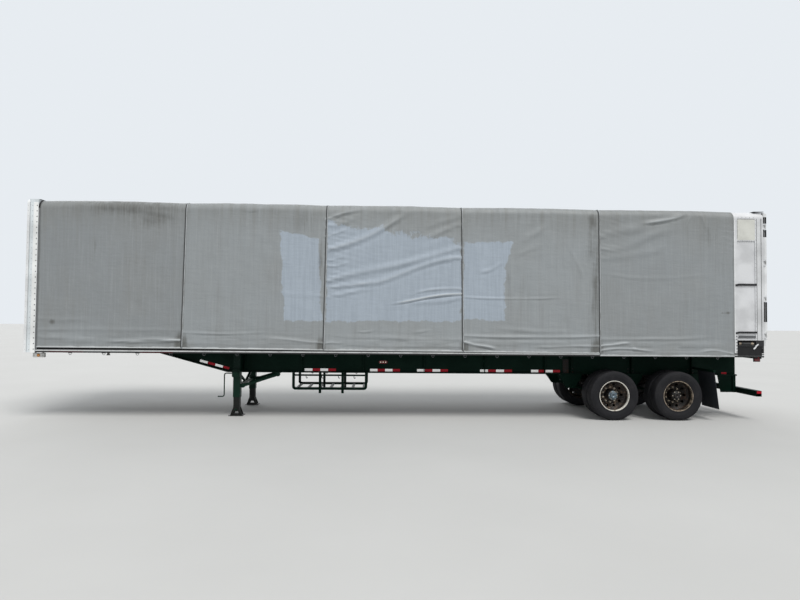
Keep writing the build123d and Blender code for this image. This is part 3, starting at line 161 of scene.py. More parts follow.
def line_of(start, end, pitch):
    """Even steps of about one pitch along the straight line from start to end, both ends included."""
    start, end = np.asarray(start, float), np.asarray(end, float)
    count = max(2, int(round(np.linalg.norm(end - start) / pitch)) + 1)
    return start + np.linspace(0, 1, count)[:, None] * (end - start)


def slabs(boxes):
    """Square blocks, each given by its low and high x, y and z: its corners are every choice of them."""
    boxes = np.asarray(boxes, float).reshape(-1, 3, 2)
    ends = np.array([[x, y, z] for x in (0, 1) for y in (0, 1) for z in (0, 1)])
    corners = boxes[:, np.arange(3), ends]
    walls = np.array([[0, 1, 3, 2], [4, 6, 7, 5], [0, 4, 5, 1], [2, 3, 7, 6], [0, 2, 6, 4], [1, 5, 7, 3]])
    faces = (np.arange(len(corners))[:, None, None] * 8 + walls).reshape(-1, 4)
    return corners.reshape(-1, 3), faces.tolist()


def turned(profile, centre, segments, axis="Y", reach=None):
    """A closed profile of (along the axis, radius) pairs, swept round the axis through centre.

    reach, an array of (segments, profile points), is added to the radius where the shape isn't round.
    """
    profile = np.asarray(profile, float)
    angle = np.linspace(0, 2 * np.pi, segments, endpoint=False)[:, None]
    along = np.broadcast_to(profile[None, :, 0], (segments, len(profile)))
    radius = profile[None, :, 1] + (0 if reach is None else reach)
    across = radius * np.cos(angle)
    up = radius * np.sin(angle)
    order = {"X": (along, across, up), "Y": (across, along, up), "Z": (across, up, along)}[axis]
    return grid_shape(np.stack(order, -1) + np.asarray(centre, float), True, True)


def round_bar(path, radius, sides=10):
    """A round bar along a path: at each point a ring at right angles to the path's direction, ends capped."""
    path = np.asarray(path, float)
    ahead = np.gradient(path, axis=0)
    ahead /= np.linalg.norm(ahead, axis=1, keepdims=True)
    helper = np.where(np.abs(ahead[:, 2:3]) > 0.9, [[1.0, 0, 0]], [[0, 0, 1.0]])
    across = np.cross(ahead, helper)
    across /= np.linalg.norm(across, axis=1, keepdims=True)
    up = np.cross(across, ahead)
    angle = np.linspace(0, 2 * np.pi, sides, endpoint=False)
    ring = across[:, None] * np.cos(angle)[None, :, None] + up[:, None] * np.sin(angle)[None, :, None]
    return capped(path[:, None] + radius * ring)


def flat_bar(path, y_low, y_high, width):
    """A flat bar whose line of (x, z) points lies in an upright plane: half its width to each side of the
    line, at right angles to the line's direction, and from y_low to y_high in thickness."""
    path = np.asarray(path, float)
    ahead = np.gradient(path, axis=0)
    ahead /= np.linalg.norm(ahead, axis=1, keepdims=True)
    off = np.stack([-ahead[:, 1], ahead[:, 0]], -1) * np.broadcast_to(width, (len(path),))[:, None] / 2
    low, high = path - off, path + off
    corners = ((low, y_low), (low, y_high), (high, y_high), (high, y_low))
    ring = [np.stack([p[:, 0], np.full(len(path), y), p[:, 1]], -1) for p, y in corners]
    return capped(np.stack(ring, 1))


def heads(centres, normals, radius, height, sides=8, waist=0.75, shoulder=0.7):
    """Round or six-sided heads: over each centre a rim, a ring at the shoulder's share of the height and
    the waist's share of the radius, and a tip at the full height along its normal."""
    centres = np.asarray(centres, float).reshape(-1, 3)
    normals = np.broadcast_to(np.asarray(normals, float), centres.shape)
    helper = np.where(np.abs(normals[:, 2:3]) > 0.9, [[1.0, 0, 0]], [[0, 0, 1.0]])
    across = np.cross(normals, helper)
    across /= np.linalg.norm(across, axis=1, keepdims=True)
    up = np.cross(normals, across)
    angle = np.linspace(0, 2 * np.pi, sides, endpoint=False)
    ring = across[:, None] * np.cos(angle)[None, :, None] + up[:, None] * np.sin(angle)[None, :, None]
    low = centres[:, None] + radius * ring - 0.3 * height * normals[:, None]
    middle = centres[:, None] + waist * radius * ring + shoulder * height * normals[:, None]
    tip = centres[:, None] + height * normals[:, None]
    points = np.concatenate([low, middle, tip], axis=1)
    i = np.arange(sides)
    j = (i + 1) % sides
    start = (np.arange(len(centres)) * points.shape[1])[:, None, None]
    band = np.stack([i, j, sides + j, sides + i], -1)[None] + start
    cap = np.stack([sides + i, sides + j, np.full(sides, 2 * sides)], -1)[None] + start
    base = i[::-1][None, None] + start
    faces = band.reshape(-1, 4).tolist() + cap.reshape(-1, 3).tolist() + base.reshape(-1, sides).tolist()
    return points.reshape(-1, 3), faces


def row_of_heads(ends, pitch, normal, *form):
    """Heads at even steps between two ends."""
    return heads(line_of(*ends, pitch), normal, *form)


def upright(x, y, low, high):
    """The two ends of an upright line."""
    return (x, y, low), (x, y, high)


def on_side(shapes, side):
    """Shapes made for the right side, as they are there (side 1) or mirrored to the left (side -1)."""
    return [(np.asarray(points, float) * (1, side, 1), faces) for points, faces in shapes]


def both(shapes):
    """Shapes made for the right side, and the same ones mirrored to the left."""
    return on_side(shapes, -1) + on_side(shapes, 1)


def arch_line(half, roof, foot, corner, side_points, corner_points, roof_points, hem_steps=()):
    """Points across the trailer from the left foot over the roof to the right foot, and their outward
    normals.

    The sides are straight, the corners quarter circles and the roof flat. hem_steps are more points above
    the foot of each side.
    """
    turn = np.linspace(0, np.pi / 2, corner_points, endpoint=False)
    first = hem_steps[-1] if len(hem_steps) else 0.0
    rise = np.linspace(first, roof - corner - foot, side_points, endpoint=False)
    rise = np.concatenate([np.asarray(hem_steps, float)[:-1], rise])
    side = np.stack([np.full_like(rise, -half), foot + rise], -1)
    side_out = np.tile([-1.0, 0.0], (len(rise), 1))
    corner_out = np.stack([-np.cos(turn), np.sin(turn)], -1)
    bend = np.array([-half + corner, roof - corner]) + corner * corner_out
    across = np.linspace(-half + corner, 0, roof_points // 2, endpoint=False)
    top = np.stack([across, np.full_like(across, roof)], -1)
    top_out = np.tile([0.0, 1.0], (len(across), 1))
    left = np.concatenate([side, bend, top])
    left_out = np.concatenate([side_out, corner_out, top_out])
    flip = np.array([-1.0, 1.0])
    place = np.concatenate([left, [[0.0, roof]], left[::-1] * flip])
    out = np.concatenate([left_out, [[0.0, 1.0]], left_out[::-1] * flip])
    return place, out


def along_arch(line, profile, shift=0.0):
    """A closed profile of (x, lift) pairs carried along an arch line: each point is the line's own plus its
    lift along the line's normal. shift, one number for each point of the line, is added to x."""
    place, out = line
    profile = np.asarray(profile, float)
    x = profile[None, :, 0] + np.broadcast_to(shift, (len(place),))[:, None]
    spread = place[:, None] + out[:, None] * profile[None, :, 1:]
    return capped(np.stack([x, spread[..., 0], spread[..., 1]], -1))


def piece(name, shapes, finish, body="chassis", smooth=False, merge=True):
    """Puts a shape, or a list of them as one, into a mesh object, merges doubled points, turns its faces
    outwards and lets it ride."""
    points, faces = joined(shapes) if isinstance(shapes, list) else shapes
    mesh = bpy.data.meshes.new(name)
    mesh.from_pydata(np.asarray(points).tolist(), [], faces)
    if merge:
        work = bmesh.new()
        work.from_mesh(mesh)
        bmesh.ops.remove_doubles(work, verts=work.verts, dist=1e-6)
        bmesh.ops.recalc_face_normals(work, faces=work.faces)
        work.to_mesh(mesh)
        work.free()
    mesh.polygons.foreach_set("use_smooth", [smooth] * len(mesh.polygons))
    mesh.materials.append(finish)
    thing = bpy.data.objects.new(name, mesh)
    bpy.context.scene.collection.objects.link(thing)
    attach(thing, body)
    return thing


def bevelled(thing, width, segments=2):
    """Rounds the piece's sharp edges, those that turn by more than 40 degrees."""
    rounding = thing.modifiers.new("edges", "BEVEL")
    rounding.width = width
    rounding.segments = segments
    rounding.limit_method = "ANGLE"
    rounding.angle_limit = math.radians(40)
    return thing


# Materials

def put(tree, kind, inputs=None, **settings):
    """Adds a node, sets its properties, and fills or links its inputs."""
    made = tree.nodes.new(kind)
    for key, value in settings.items():
        setattr(made, key, value)
    for key, value in (inputs or {}).items():
        if isinstance(value, bpy.types.NodeSocket):
            tree.links.new(value, made.inputs[key])
        else:
            made.inputs[key].default_value = value
    return made


class Finish:
    """A material in the making: its tree, its shader, the object's own coordinates and its tone so far."""

    def __init__(self, name):
        self.material = bpy.data.materials.new(name)
        self.material.use_nodes = True
        self.tree = self.material.node_tree
        self.shader = self.tree.nodes["Principled BSDF"]
        self.place = put(self.tree, "ShaderNodeTexCoord").outputs["Object"]
        self.tone = None

    def noise(self, scale, detail, stretch=(1, 1, 1), roughness=0.55):
        """Cloudy noise about 0.5 on coordinates stretched along each axis."""
        where = put(self.tree, "ShaderNodeMapping", {"Vector": self.place, "Scale": stretch}).outputs[0]
        inputs = {"Vector": where, "Scale": scale, "Detail": detail, "Roughness": roughness}
        return put(self.tree, "ShaderNodeTexNoise", inputs).outputs["Fac"]

    def ribs(self, scale, direction, distortion=0.0):
        """Even waves in one direction."""
        inputs = {"Vector": self.place, "Scale": scale, "Distortion": distortion}
        return put(self.tree, "ShaderNodeTexWave", inputs, bands_direction=direction).outputs["Fac"]

    def between(self, value, low, high, bottom=0.0, top=1.0):
        """Maps low..high to bottom..top, smoothly and clamped."""
        inputs = {"Value": value, "From Min": low, "From Max": high, "To Min": bottom, "To Max": top}
        return put(self.tree, "ShaderNodeMapRange", inputs, interpolation_type="SMOOTHSTEP").outputs[0]

    def maths(self, kind, a, b):
        """One arithmetic step on two values."""
        return put(self.tree, "ShaderNodeMath", {0: a, 1: b}, operation=kind).outputs[0]

    def times(self, a, b):
        """One value times another."""
        return self.maths("MULTIPLY", a, b)

    def plus(self, a, b):
        """One value and another."""
        return self.maths("ADD", a, b)

    def roughened(self, value, cloud, amount):
        """A value pushed up and down by amount times how far the cloud lies from its middle."""
        return self.plus(value, self.times(self.maths("SUBTRACT", cloud, 0.5), amount))

    def mixed(self, share, first, second):
        """The first colour where share is 0 and the second where it is 1."""
        ends = [(*c, 1.0) if isinstance(c, tuple) else c for c in (first, second)]
        values = {0: share, 6: ends[0], 7: ends[1]}
        return put(self.tree, "ShaderNodeMix", values, data_type="RGBA").outputs[2]

    def over(self, share, colour):
        """Lays a colour over the tone where share is 1."""
        self.tone = self.mixed(share, self.tone, colour)

    def along(self, axis):
        """The object's own coordinate along one axis; along Z, the height above the ground."""
        return put(self.tree, "ShaderNodeSeparateXYZ", {"Vector": self.place}).outputs[axis]

    def attribute(self, name):
        """A number kept at each point of the mesh."""
        return put(self.tree, "ShaderNodeAttribute", attribute_name=name).outputs["Fac"]

    def done(self, relief, strength, distance, rough=None, **settings):
        """Links the tone, the roughness and the bump, fills the shader's other inputs, and hands it over."""
        self.tree.links.new(self.tone, self.shader.inputs["Base Color"])
        if rough is not None:
            self.tree.links.new(rough, self.shader.inputs["Roughness"])
        for key, value in settings.items():
            self.shader.inputs[key.replace("_", " ")].default_value = value
        inputs = {"Height": relief, "Strength": strength, "Distance": distance}
        self.tree.links.new(put(self.tree, "ShaderNodeBump", inputs).outputs[0], self.shader.inputs["Normal"])
        return self.material


def coat_of_paint(name, colour, dirt, dirt_share=0.4, rust=None, rust_share=0.0, gloss=0.45, shine=0.5,
                  streak=0.3, scale=1.0, dark_below=None, painted_shade_above=None, dark=(0.012, 0.012, 0.013)):
    """Worn paint: cloudy tone, dirt in patches and upright streaks, rust in small spots, a dark coat
    below one height, and painted shade above another, for a part that lies in shade there."""
    coat = Finish(name)
    cloud = coat.noise(2.2 * scale, 5)
    fine = coat.noise(38 * scale, 6)
    runs = coat.noise(3.0 * scale, 5, stretch=(5, 5, 0.5))
    light = tuple(min(1.0, c * 1.10 + 0.002) for c in colour)
    shade = tuple(c * 0.86 for c in colour)
    coat.tone = coat.mixed(coat.between(cloud, 0.35, 0.65), shade, light)
    grime = coat.plus(coat.times(cloud, 1 - streak), coat.times(runs, streak))
    grime = coat.plus(grime, coat.times(fine, 0.25))
    grime = coat.between(grime, 0.84 - 0.45 * dirt_share, 1.0 - 0.3 * dirt_share)
    coat.over(coat.times(grime, min(1.0, 0.35 + dirt_share)), dirt)
    rough = coat.between(grime, 0, 1, gloss, min(0.95, gloss + 0.3))
    if rust:
        spots = coat.noise(9 * scale, 8, roughness=0.7)
        edge = coat.between(spots, 0.72 - 0.35 * rust_share, 0.78 - 0.35 * rust_share)
        coat.over(edge, rust)
        rough = coat.maths("MAXIMUM", rough, coat.times(edge, 0.85))
    if dark_below:
        line = coat.roughened(coat.along("Z"), fine, 0.02)
        coat.over(coat.between(line, dark_below + 0.006, dark_below - 0.006), dark)
    # Painted shade: above this height the paint turns dark, for a part in shade.
    if painted_shade_above:
        coat.over(coat.between(coat.along("Z"), painted_shade_above - 0.01, painted_shade_above + 0.02), dark)
    return coat.done(fine, 0.2, 0.0015, rough, Specular_IOR_Level=shine)


def tarp_cloth():
    """Coated fabric gone grey: weave, faint upright streaks, dirt kept at each point, washed patches, painted
    highlights and shade along the folds.
    """
    cloth = Finish("tarp_cloth")
    washed, seam, smudge, bay_tone, above_hem, crease = (cloth.attribute(name) for name in TARP_LABELS)
    height = cloth.along("Z")
    cloud = cloth.noise(0.9, 6)
    blotch = cloth.noise(5.0, 6, roughness=0.65)
    runs = cloth.noise(4.0, 6, stretch=(2.4, 1, 0.18))
    fine_runs = cloth.noise(15.0, 5, stretch=(2.2, 1, 0.10))
    speck = cloth.noise(30.0, 4, roughness=0.6)
    cloth.tone = cloth.mixed(bay_tone, (0.238, 0.254, 0.262), (0.303, 0.326, 0.338))
    cloth.over(cloth.between(cloud, 0.35, 0.68, 0.0, 0.30), (0.245, 0.250, 0.243))
    cloth.over(cloth.between(runs, 0.5, 0.75, 0.0, 0.30), (0.215, 0.218, 0.212))
    cloth.over(cloth.between(fine_runs, 0.52, 0.25, 0.0, 0.16), (0.40, 0.42, 0.43))
    cloth.over(cloth.between(fine_runs, 0.5, 0.75, 0.0, 0.15), (0.19, 0.19, 0.18))
    # Brown dirt under the roof edge, and road film near the hem
    top = cloth.times(cloth.between(height, 3.35, 4.0), cloth.between(runs, 0.28, 0.74, 0.35, 1.0))
    cloth.over(cloth.times(top, 0.55), (0.190, 0.192, 0.180))
    low = cloth.times(cloth.between(height, 1.60, 1.32), cloth.between(blotch, 0.40, 0.66))
    cloth.over(cloth.times(low, 0.25), (0.22, 0.215, 0.20))
    # Washed patches, lighter and bluer, with ragged edges
    clean = cloth.between(cloth.roughened(cloth.roughened(washed, blotch, 0.18), speck, 0.06), -0.012, 0.014)
    pale = cloth.mixed(cloth.between(fine_runs, 0.38, 0.64), (0.366, 0.418, 0.478), (0.333, 0.382, 0.439))
    cloth.over(cloth.times(clean, 0.95), pale)
    # Dirt in smudges and along the seams
    grime = cloth.times(cloth.between(cloth.roughened(seam, blotch, 0.10), 0.040, 0.005), 0.22)
    torn = cloth.roughened(cloth.roughened(smudge, blotch, 0.8), fine_runs, 1.1)
    torn = cloth.times(cloth.between(torn, 0.05, 1.20), cloth.between(smudge, 0.02, 0.45))
    grime = cloth.maths("MAXIMUM", grime, cloth.times(torn, 0.78))
    cloth.over(grime, (0.088, 0.087, 0.077))
    # Painted highlights along the folds' ridges and painted shade in their grooves, and a paler band along
    # the hem's edge
    cloth.over(cloth.between(crease, 0.15, 0.80, 0.0, 0.75), (0.50, 0.53, 0.545))
    cloth.over(cloth.between(crease, -0.04, -0.35, 0.0, 0.40), (0.13, 0.135, 0.135))
    hem_band = cloth.roughened(above_hem, blotch, 0.06)
    cloth.over(cloth.between(hem_band, 0.036, 0.016, 0.0, 0.80), (0.53, 0.55, 0.555))
    weave = cloth.ribs(130.0, "X", 0.6)
    crush = cloth.noise(7.0, 5, stretch=(0.5, 1, 2.2))
    relief = cloth.plus(cloth.times(weave, 0.05), cloth.times(speck, 0.4))
    relief = cloth.plus(relief, cloth.times(crush, 1.6))
    rough = cloth.between(blotch, 0.3, 0.7, 0.48, 0.64)
    return cloth.done(relief, 0.5, 0.006, rough, Specular_IOR_Level=0.35)


def rubber(name, colour, dust, share, shine=0.4):
    """Dusty black rubber with fine cracks in its bump."""
    skin = Finish(name)
    cloud = skin.noise(6, 6)
    skin.tone = skin.mixed(skin.times(skin.between(cloud, 0.4, 0.7), share), colour, dust)
    rough = skin.between(cloud, 0.3, 0.7, 0.62, 0.85)
    return skin.done(skin.noise(90, 5), 0.3, 0.001, rough, Specular_IOR_Level=shine)


def rim_finish(name, axle, ring, heart, rust, ring_edge, rust_share):
    """Steel disc wheel: ring paint towards its rim, darker steel and rust inside ring_edge and deeper than
    the outer lip, rust in spots.

    The radius is the distance to the axle, worked out from the object's own coordinates.
    """
    disc = Finish(name)
    lip = dual_y + dual_spacing / 2 + 0.105
    reach = disc.place
    for second, kind in (((axle, 0.0, axle_z), "SUBTRACT"), ((1.0, 0.0, 1.0), "MULTIPLY")):
        reach = put(disc.tree, "ShaderNodeVectorMath", {0: reach, 1: second}, operation=kind).outputs[0]
    reach = put(disc.tree, "ShaderNodeVectorMath", {0: reach}, operation="LENGTH").outputs["Value"]
    blotch = disc.noise(14, 7, roughness=0.7)
    fine = disc.noise(60, 6, roughness=0.65)
    inner = disc.between(disc.roughened(reach, blotch, 0.07), ring_edge + 0.012, ring_edge - 0.012)
    depth = disc.roughened(disc.maths("ABSOLUTE", disc.along("Y"), 0.0), blotch, 0.06)
    inner = disc.maths("MAXIMUM", inner, disc.between(depth, lip - 0.048, lip - 0.075))
    spots = disc.between(fine, 0.66 - 0.2 * rust_share, 0.74 - 0.2 * rust_share)
    rusted = disc.maths("MAXIMUM", disc.times(spots, 0.8), disc.between(blotch, 0.56, 0.66, 0, 0.8))
    middle = disc.mixed(disc.between(blotch, 0.46, 0.64), heart, rust)
    middle = disc.mixed(disc.times(disc.between(fine, 0.62, 0.70), 0.55), middle, ring)
    disc.tone = disc.mixed(inner, disc.mixed(rusted, ring, rust), middle)
    rough = disc.between(fine, 0.3, 0.7, 0.45, 0.8)
    return disc.done(disc.plus(blotch, fine), 0.25, 0.002, rough, Specular_IOR_Level=0.35)


def lens(name, colour, glow=0.0, ribs_scale=60.0, coat=0.3, shine=0.5):
    """A moulded plastic lens or reflective tape with fine ribs in its bump; its glow is lamp light on a lamp
    and painted light on anything else.
    """
    glass = Finish(name)
    glass.tone = glass.mixed(glass.times(glass.noise(12, 4), 0.6), colour, tuple(c * 0.5 for c in colour))
    return glass.done(glass.ribs(ribs_scale, "DIAGONAL"), 0.3, 0.001, Roughness=0.25, Coat_Weight=coat,
                      Specular_IOR_Level=shine, Emission_Color=(*colour, 1.0), Emission_Strength=glow)


def tape(name, colour, glow=0.0):
    """Reflective tape: a lens with fine ribs and no coat, whose glow is painted light."""
    return lens(name, colour, glow, ribs_scale=140.0, coat=0.0, shine=0.15)


def planks():
    """Worn hardwood boards along the deck: long grain, darker gaps and scuffs."""
    wood = Finish("deck_planks")
    grain = wood.noise(9, 8, stretch=(0.25, 4, 1))
    scuff = wood.between(wood.noise(3, 5), 0.5, 0.7)
    wood.tone = wood.mixed(wood.between(grain, 0.35, 0.65), (0.16, 0.11, 0.07), (0.33, 0.25, 0.17))
    wood.over(wood.times(scuff, 0.5), (0.1, 0.085, 0.07))
    return wood.done(grain, 0.4, 0.003, Roughness=0.75)


def bare_metal(name, colour, rough=0.38, metal=0.9, grime=(0.16, 0.15, 0.14), share=0.4, light_band=None):
    """Bare metal with drawn lines along its length, dulled in clouds. Outside light_band, a pair of
    heights, it is near black."""
    bare = Finish(name)
    drawn = bare.noise(24, 6, stretch=(0.15, 3, 3))
    cloud = bare.noise(3.5, 6)
    bare.tone = bare.mixed(bare.times(bare.between(cloud, 0.42, 0.7), share), colour, grime)
    if light_band:
        low, high = light_band
        in_light_band = bare.times(bare.between(bare.along("Z"), low - 0.004, low + 0.004),
                          bare.between(bare.along("Z"), high + 0.003, high - 0.003))
        bare.tone = bare.mixed(in_light_band, (0.012, 0.013, 0.013), bare.tone)
    roughness = bare.between(drawn, 0.3, 0.7, rough - 0.08, rough + 0.14)
    return bare.done(drawn, 0.15, 0.001, roughness, Metallic=metal)


# Dirt, rust and chalk that more than one finish has, then the finishes
soil = (0.009, 0.010, 0.008)
rust = (0.035, 0.016, 0.009)
chalk = (0.5, 0.49, 0.46)
# The beams' green is a darker copy of the legs' green paint: painted shade for the dark under the deck.
green = coat_of_paint("green_paint", (0.0012, 0.013, 0.0075), soil, 0.2, (0.02, 0.009, 0.005), 0.12,
                      shine=0.06)
# The legs' paint turns to the beams' darker green above 0.835 m: painted shade where the deck shades their
# tops.
leg_green = coat_of_paint("leg_paint", (0.004, 0.026, 0.015), (0.016, 0.015, 0.012), 0.35, rust, 0.3,
                          shine=0.12, painted_shade_above=0.835, dark=(0.0016, 0.013, 0.008))
leg_black = coat_of_paint("leg_black", (0.010, 0.011, 0.010), (0.03, 0.026, 0.021), 0.4,
                          (0.035, 0.018, 0.010), 0.3, shine=0.2)
white = coat_of_paint("white_sheet", (0.655, 0.70, 0.72), chalk, 0.10, streak=0.75, gloss=0.4)
white_trim = coat_of_paint("white_trim", (0.72, 0.73, 0.735), (0.4, 0.39, 0.36), 0.15, streak=0.6, gloss=0.4)
bright_trim = coat_of_paint("bright_trim", (0.80, 0.81, 0.80), chalk, 0.10, streak=0.6, gloss=0.4)
warm_white = coat_of_paint("warm_white", (0.60, 0.60, 0.555), (0.45, 0.43, 0.37), 0.18, streak=0.7)
white_frame = coat_of_paint("white_frame", (0.622, 0.628, 0.640), (0.40, 0.385, 0.35), 0.18, streak=0.7,
                            gloss=0.4, dark_below=1.550)
white_door = coat_of_paint("white_door", (0.62, 0.63, 0.64), (0.42, 0.40, 0.36), 0.14, streak=0.7, gloss=0.4)
rail_metal = bare_metal("rail_metal", (0.55, 0.56, 0.56), 0.45, 0.35)
track_metal = bare_metal("track_metal", (0.62, 0.63, 0.63), 0.45, 0.25, light_band=(1.249, 1.272))
bow_metal = bare_metal("bow_metal", (0.55, 0.56, 0.57), 0.4, 0.7)
black_axle = coat_of_paint("axle_paint", (0.007, 0.007, 0.008), (0.02, 0.018, 0.015), 0.4,
                           (0.035, 0.017, 0.009), 0.35, shine=0.2)
rusty_spring = coat_of_paint("spring_steel", (0.012, 0.010, 0.009), (0.024, 0.019, 0.015), 0.5,
                             (0.04, 0.019, 0.011), 0.5, shine=0.2)
hub_iron = coat_of_paint("hub_iron", (0.014, 0.013, 0.013), (0.045, 0.034, 0.025), 0.4,
                         (0.08, 0.042, 0.024), 0.4, shine=0.3, scale=3)
cap_grey = bare_metal("hub_cap_grey", (0.13, 0.17, 0.20), 0.35, 0.6, (0.03, 0.03, 0.03), 0.6)
nut_steel = bare_metal("nut_steel", (0.58, 0.53, 0.44), 0.42, 0.3, (0.20, 0.13, 0.08), 0.7)
dark_nut = bare_metal("dark_nut", (0.44, 0.38, 0.29), 0.45, 0.3, (0.10, 0.065, 0.045), 0.8)
rims = {
    "front": rim_finish("rim_cream", axle_x["front"], (0.80, 0.775, 0.70), (0.022, 0.018, 0.016),
                        (0.13, 0.088, 0.056), 0.246, 0.5),
    "rear": rim_finish("rim_tan", axle_x["rear"], (0.55, 0.45, 0.34), (0.009, 0.008, 0.007),
                       (0.055, 0.030, 0.018), 0.282, 0.8),
}
tyre_rubber = rubber("tyre_rubber", (0.012, 0.012, 0.014), (0.034, 0.033, 0.035), 0.45, 0.2)
flap_rubber = rubber("flap_rubber", (0.016, 0.019, 0.024), (0.03, 0.03, 0.03), 0.4, 0.3)
seal_rubber = rubber("seal_rubber", (0.010, 0.010, 0.011), (0.04, 0.04, 0.04), 0.3, 0.3)
# Dark rubber for the tension straps, and for the seam tapes, where it is painted shade of the seam's gap.
dark_strap_and_seam_shade = rubber("dark_strap_and_seam_shade", (0.045, 0.046, 0.047), (0.10, 0.10, 0.098), 0.6)
seam_welt = rubber("seam_welt", (0.40, 0.42, 0.43), (0.22, 0.225, 0.22), 0.7)
red_lens = lens("red_lens", (0.30, 0.012, 0.008), 0.06)
dim_lens = lens("dim_lens", (0.16, 0.012, 0.012), coat=0.1)
amber_lens = lens("amber_lens", (0.50, 0.20, 0.03), 0.05)
painted_glint_dot = lens("painted_glint_dot", (0.95, 0.75, 0.62), 0.3)
# Both tapes glow though they are no lamps: painted light that brightens them where they lie in shade.
red_tape = tape("red_tape", (0.42, 0.008, 0.020), 0.12)
white_tape = tape("white_tape", (0.92, 0.92, 0.91), 0.34)
old_tape = tape("old_tape", (0.06, 0.010, 0.012))
floor_boards = planks()
zinc = bare_metal("zinc", (0.6, 0.6, 0.58), 0.42, 0.75)
greased = bare_metal("greased_steel", (0.22, 0.21, 0.2), 0.3, 0.85, (0.03, 0.028, 0.025), 0.9)
dark_paint = coat_of_paint("dark_paint", (0.014, 0.014, 0.015), (0.05, 0.047, 0.044), 0.3, shine=0.35)
joint_paste = coat_of_paint("joint_paste", (0.16, 0.165, 0.17), (0.08, 0.078, 0.072), 0.4, shine=0.3)
rail_grey = coat_of_paint("rail_grey", (0.10, 0.105, 0.11), (0.05, 0.048, 0.045), 0.4, shine=0.4)
rivet_metal = bare_metal("rivet_metal", (0.30, 0.30, 0.295), 0.4, 0.5, (0.1, 0.095, 0.09), 0.8)

# What each node of the frame is finished with; the others are dark
finishes = (
    (green, "main_beams cross_members rear_sill coupler_plate dunnage_rack suspension_hangers mud_flap_bars"),
    (green, "underride_guard equalizers radius_rods"),
    (leg_green, "landing_leg_tubes landing_gear_braces landing_gear_crank"),
    (leg_black, "landing_leg_feet"),
    (floor_boards, "deck_floor"),
    (rail_metal, "side_rails bulkhead_frame"),
    (track_metal, "tarp_tracks"),
    (bow_metal, "bow_front bow_1 bow_2 bow_3 bow_4"),
    (white, "bulkhead_skin"),
    (white_frame, "rear_frame rear_frame_skin"),
    (white_door, "rear_door_left rear_door_right"),
    (greased, "kingpin"),
    (rusty_spring, "leaf_springs"),
    (black_axle, "axle_beams brake_chambers air_tanks"),
    (flap_rubber, "mud_flaps"),
    (red_lens, "tail_lamps"),
    (dim_lens, "marker_lamps"),
    (zinc, "air_couplings tension_levers rear_door_gear_left rear_door_gear_right"),
    (hub_iron, "hub_front_left hub_front_right hub_rear_left hub_rear_right"),
    (rims["front"], "rims_front_left rims_front_right"),
    (rims["rear"], "rims_rear_left rims_rear_right"),
)
node_finish = {name: finish for finish, names in finishes for name in names.split()}
for name, thing in nodes.items():
    thing.data.materials.clear()
    thing.data.materials.append(node_finish.get(name, dark_paint))


# The tarp: five bays sewn together over the bows

def smooth_waves(x, y, scale, seed):
    """Cloudy waves: four layers of sines in seeded directions, each layer shorter and lower than the last."""
    local = np.random.default_rng(seed)
    total = np.zeros(np.broadcast(x, y).shape)
    for layer in range(4):
        for _ in range(3):
            turn, phase = local.uniform(0, 2 * np.pi, 2)
            size = 2 * np.pi / (scale / 1.7**layer)
            total += np.sin(size * (x * np.cos(turn) + y * np.sin(turn)) + phase) / 1.8**layer
    return total / 4


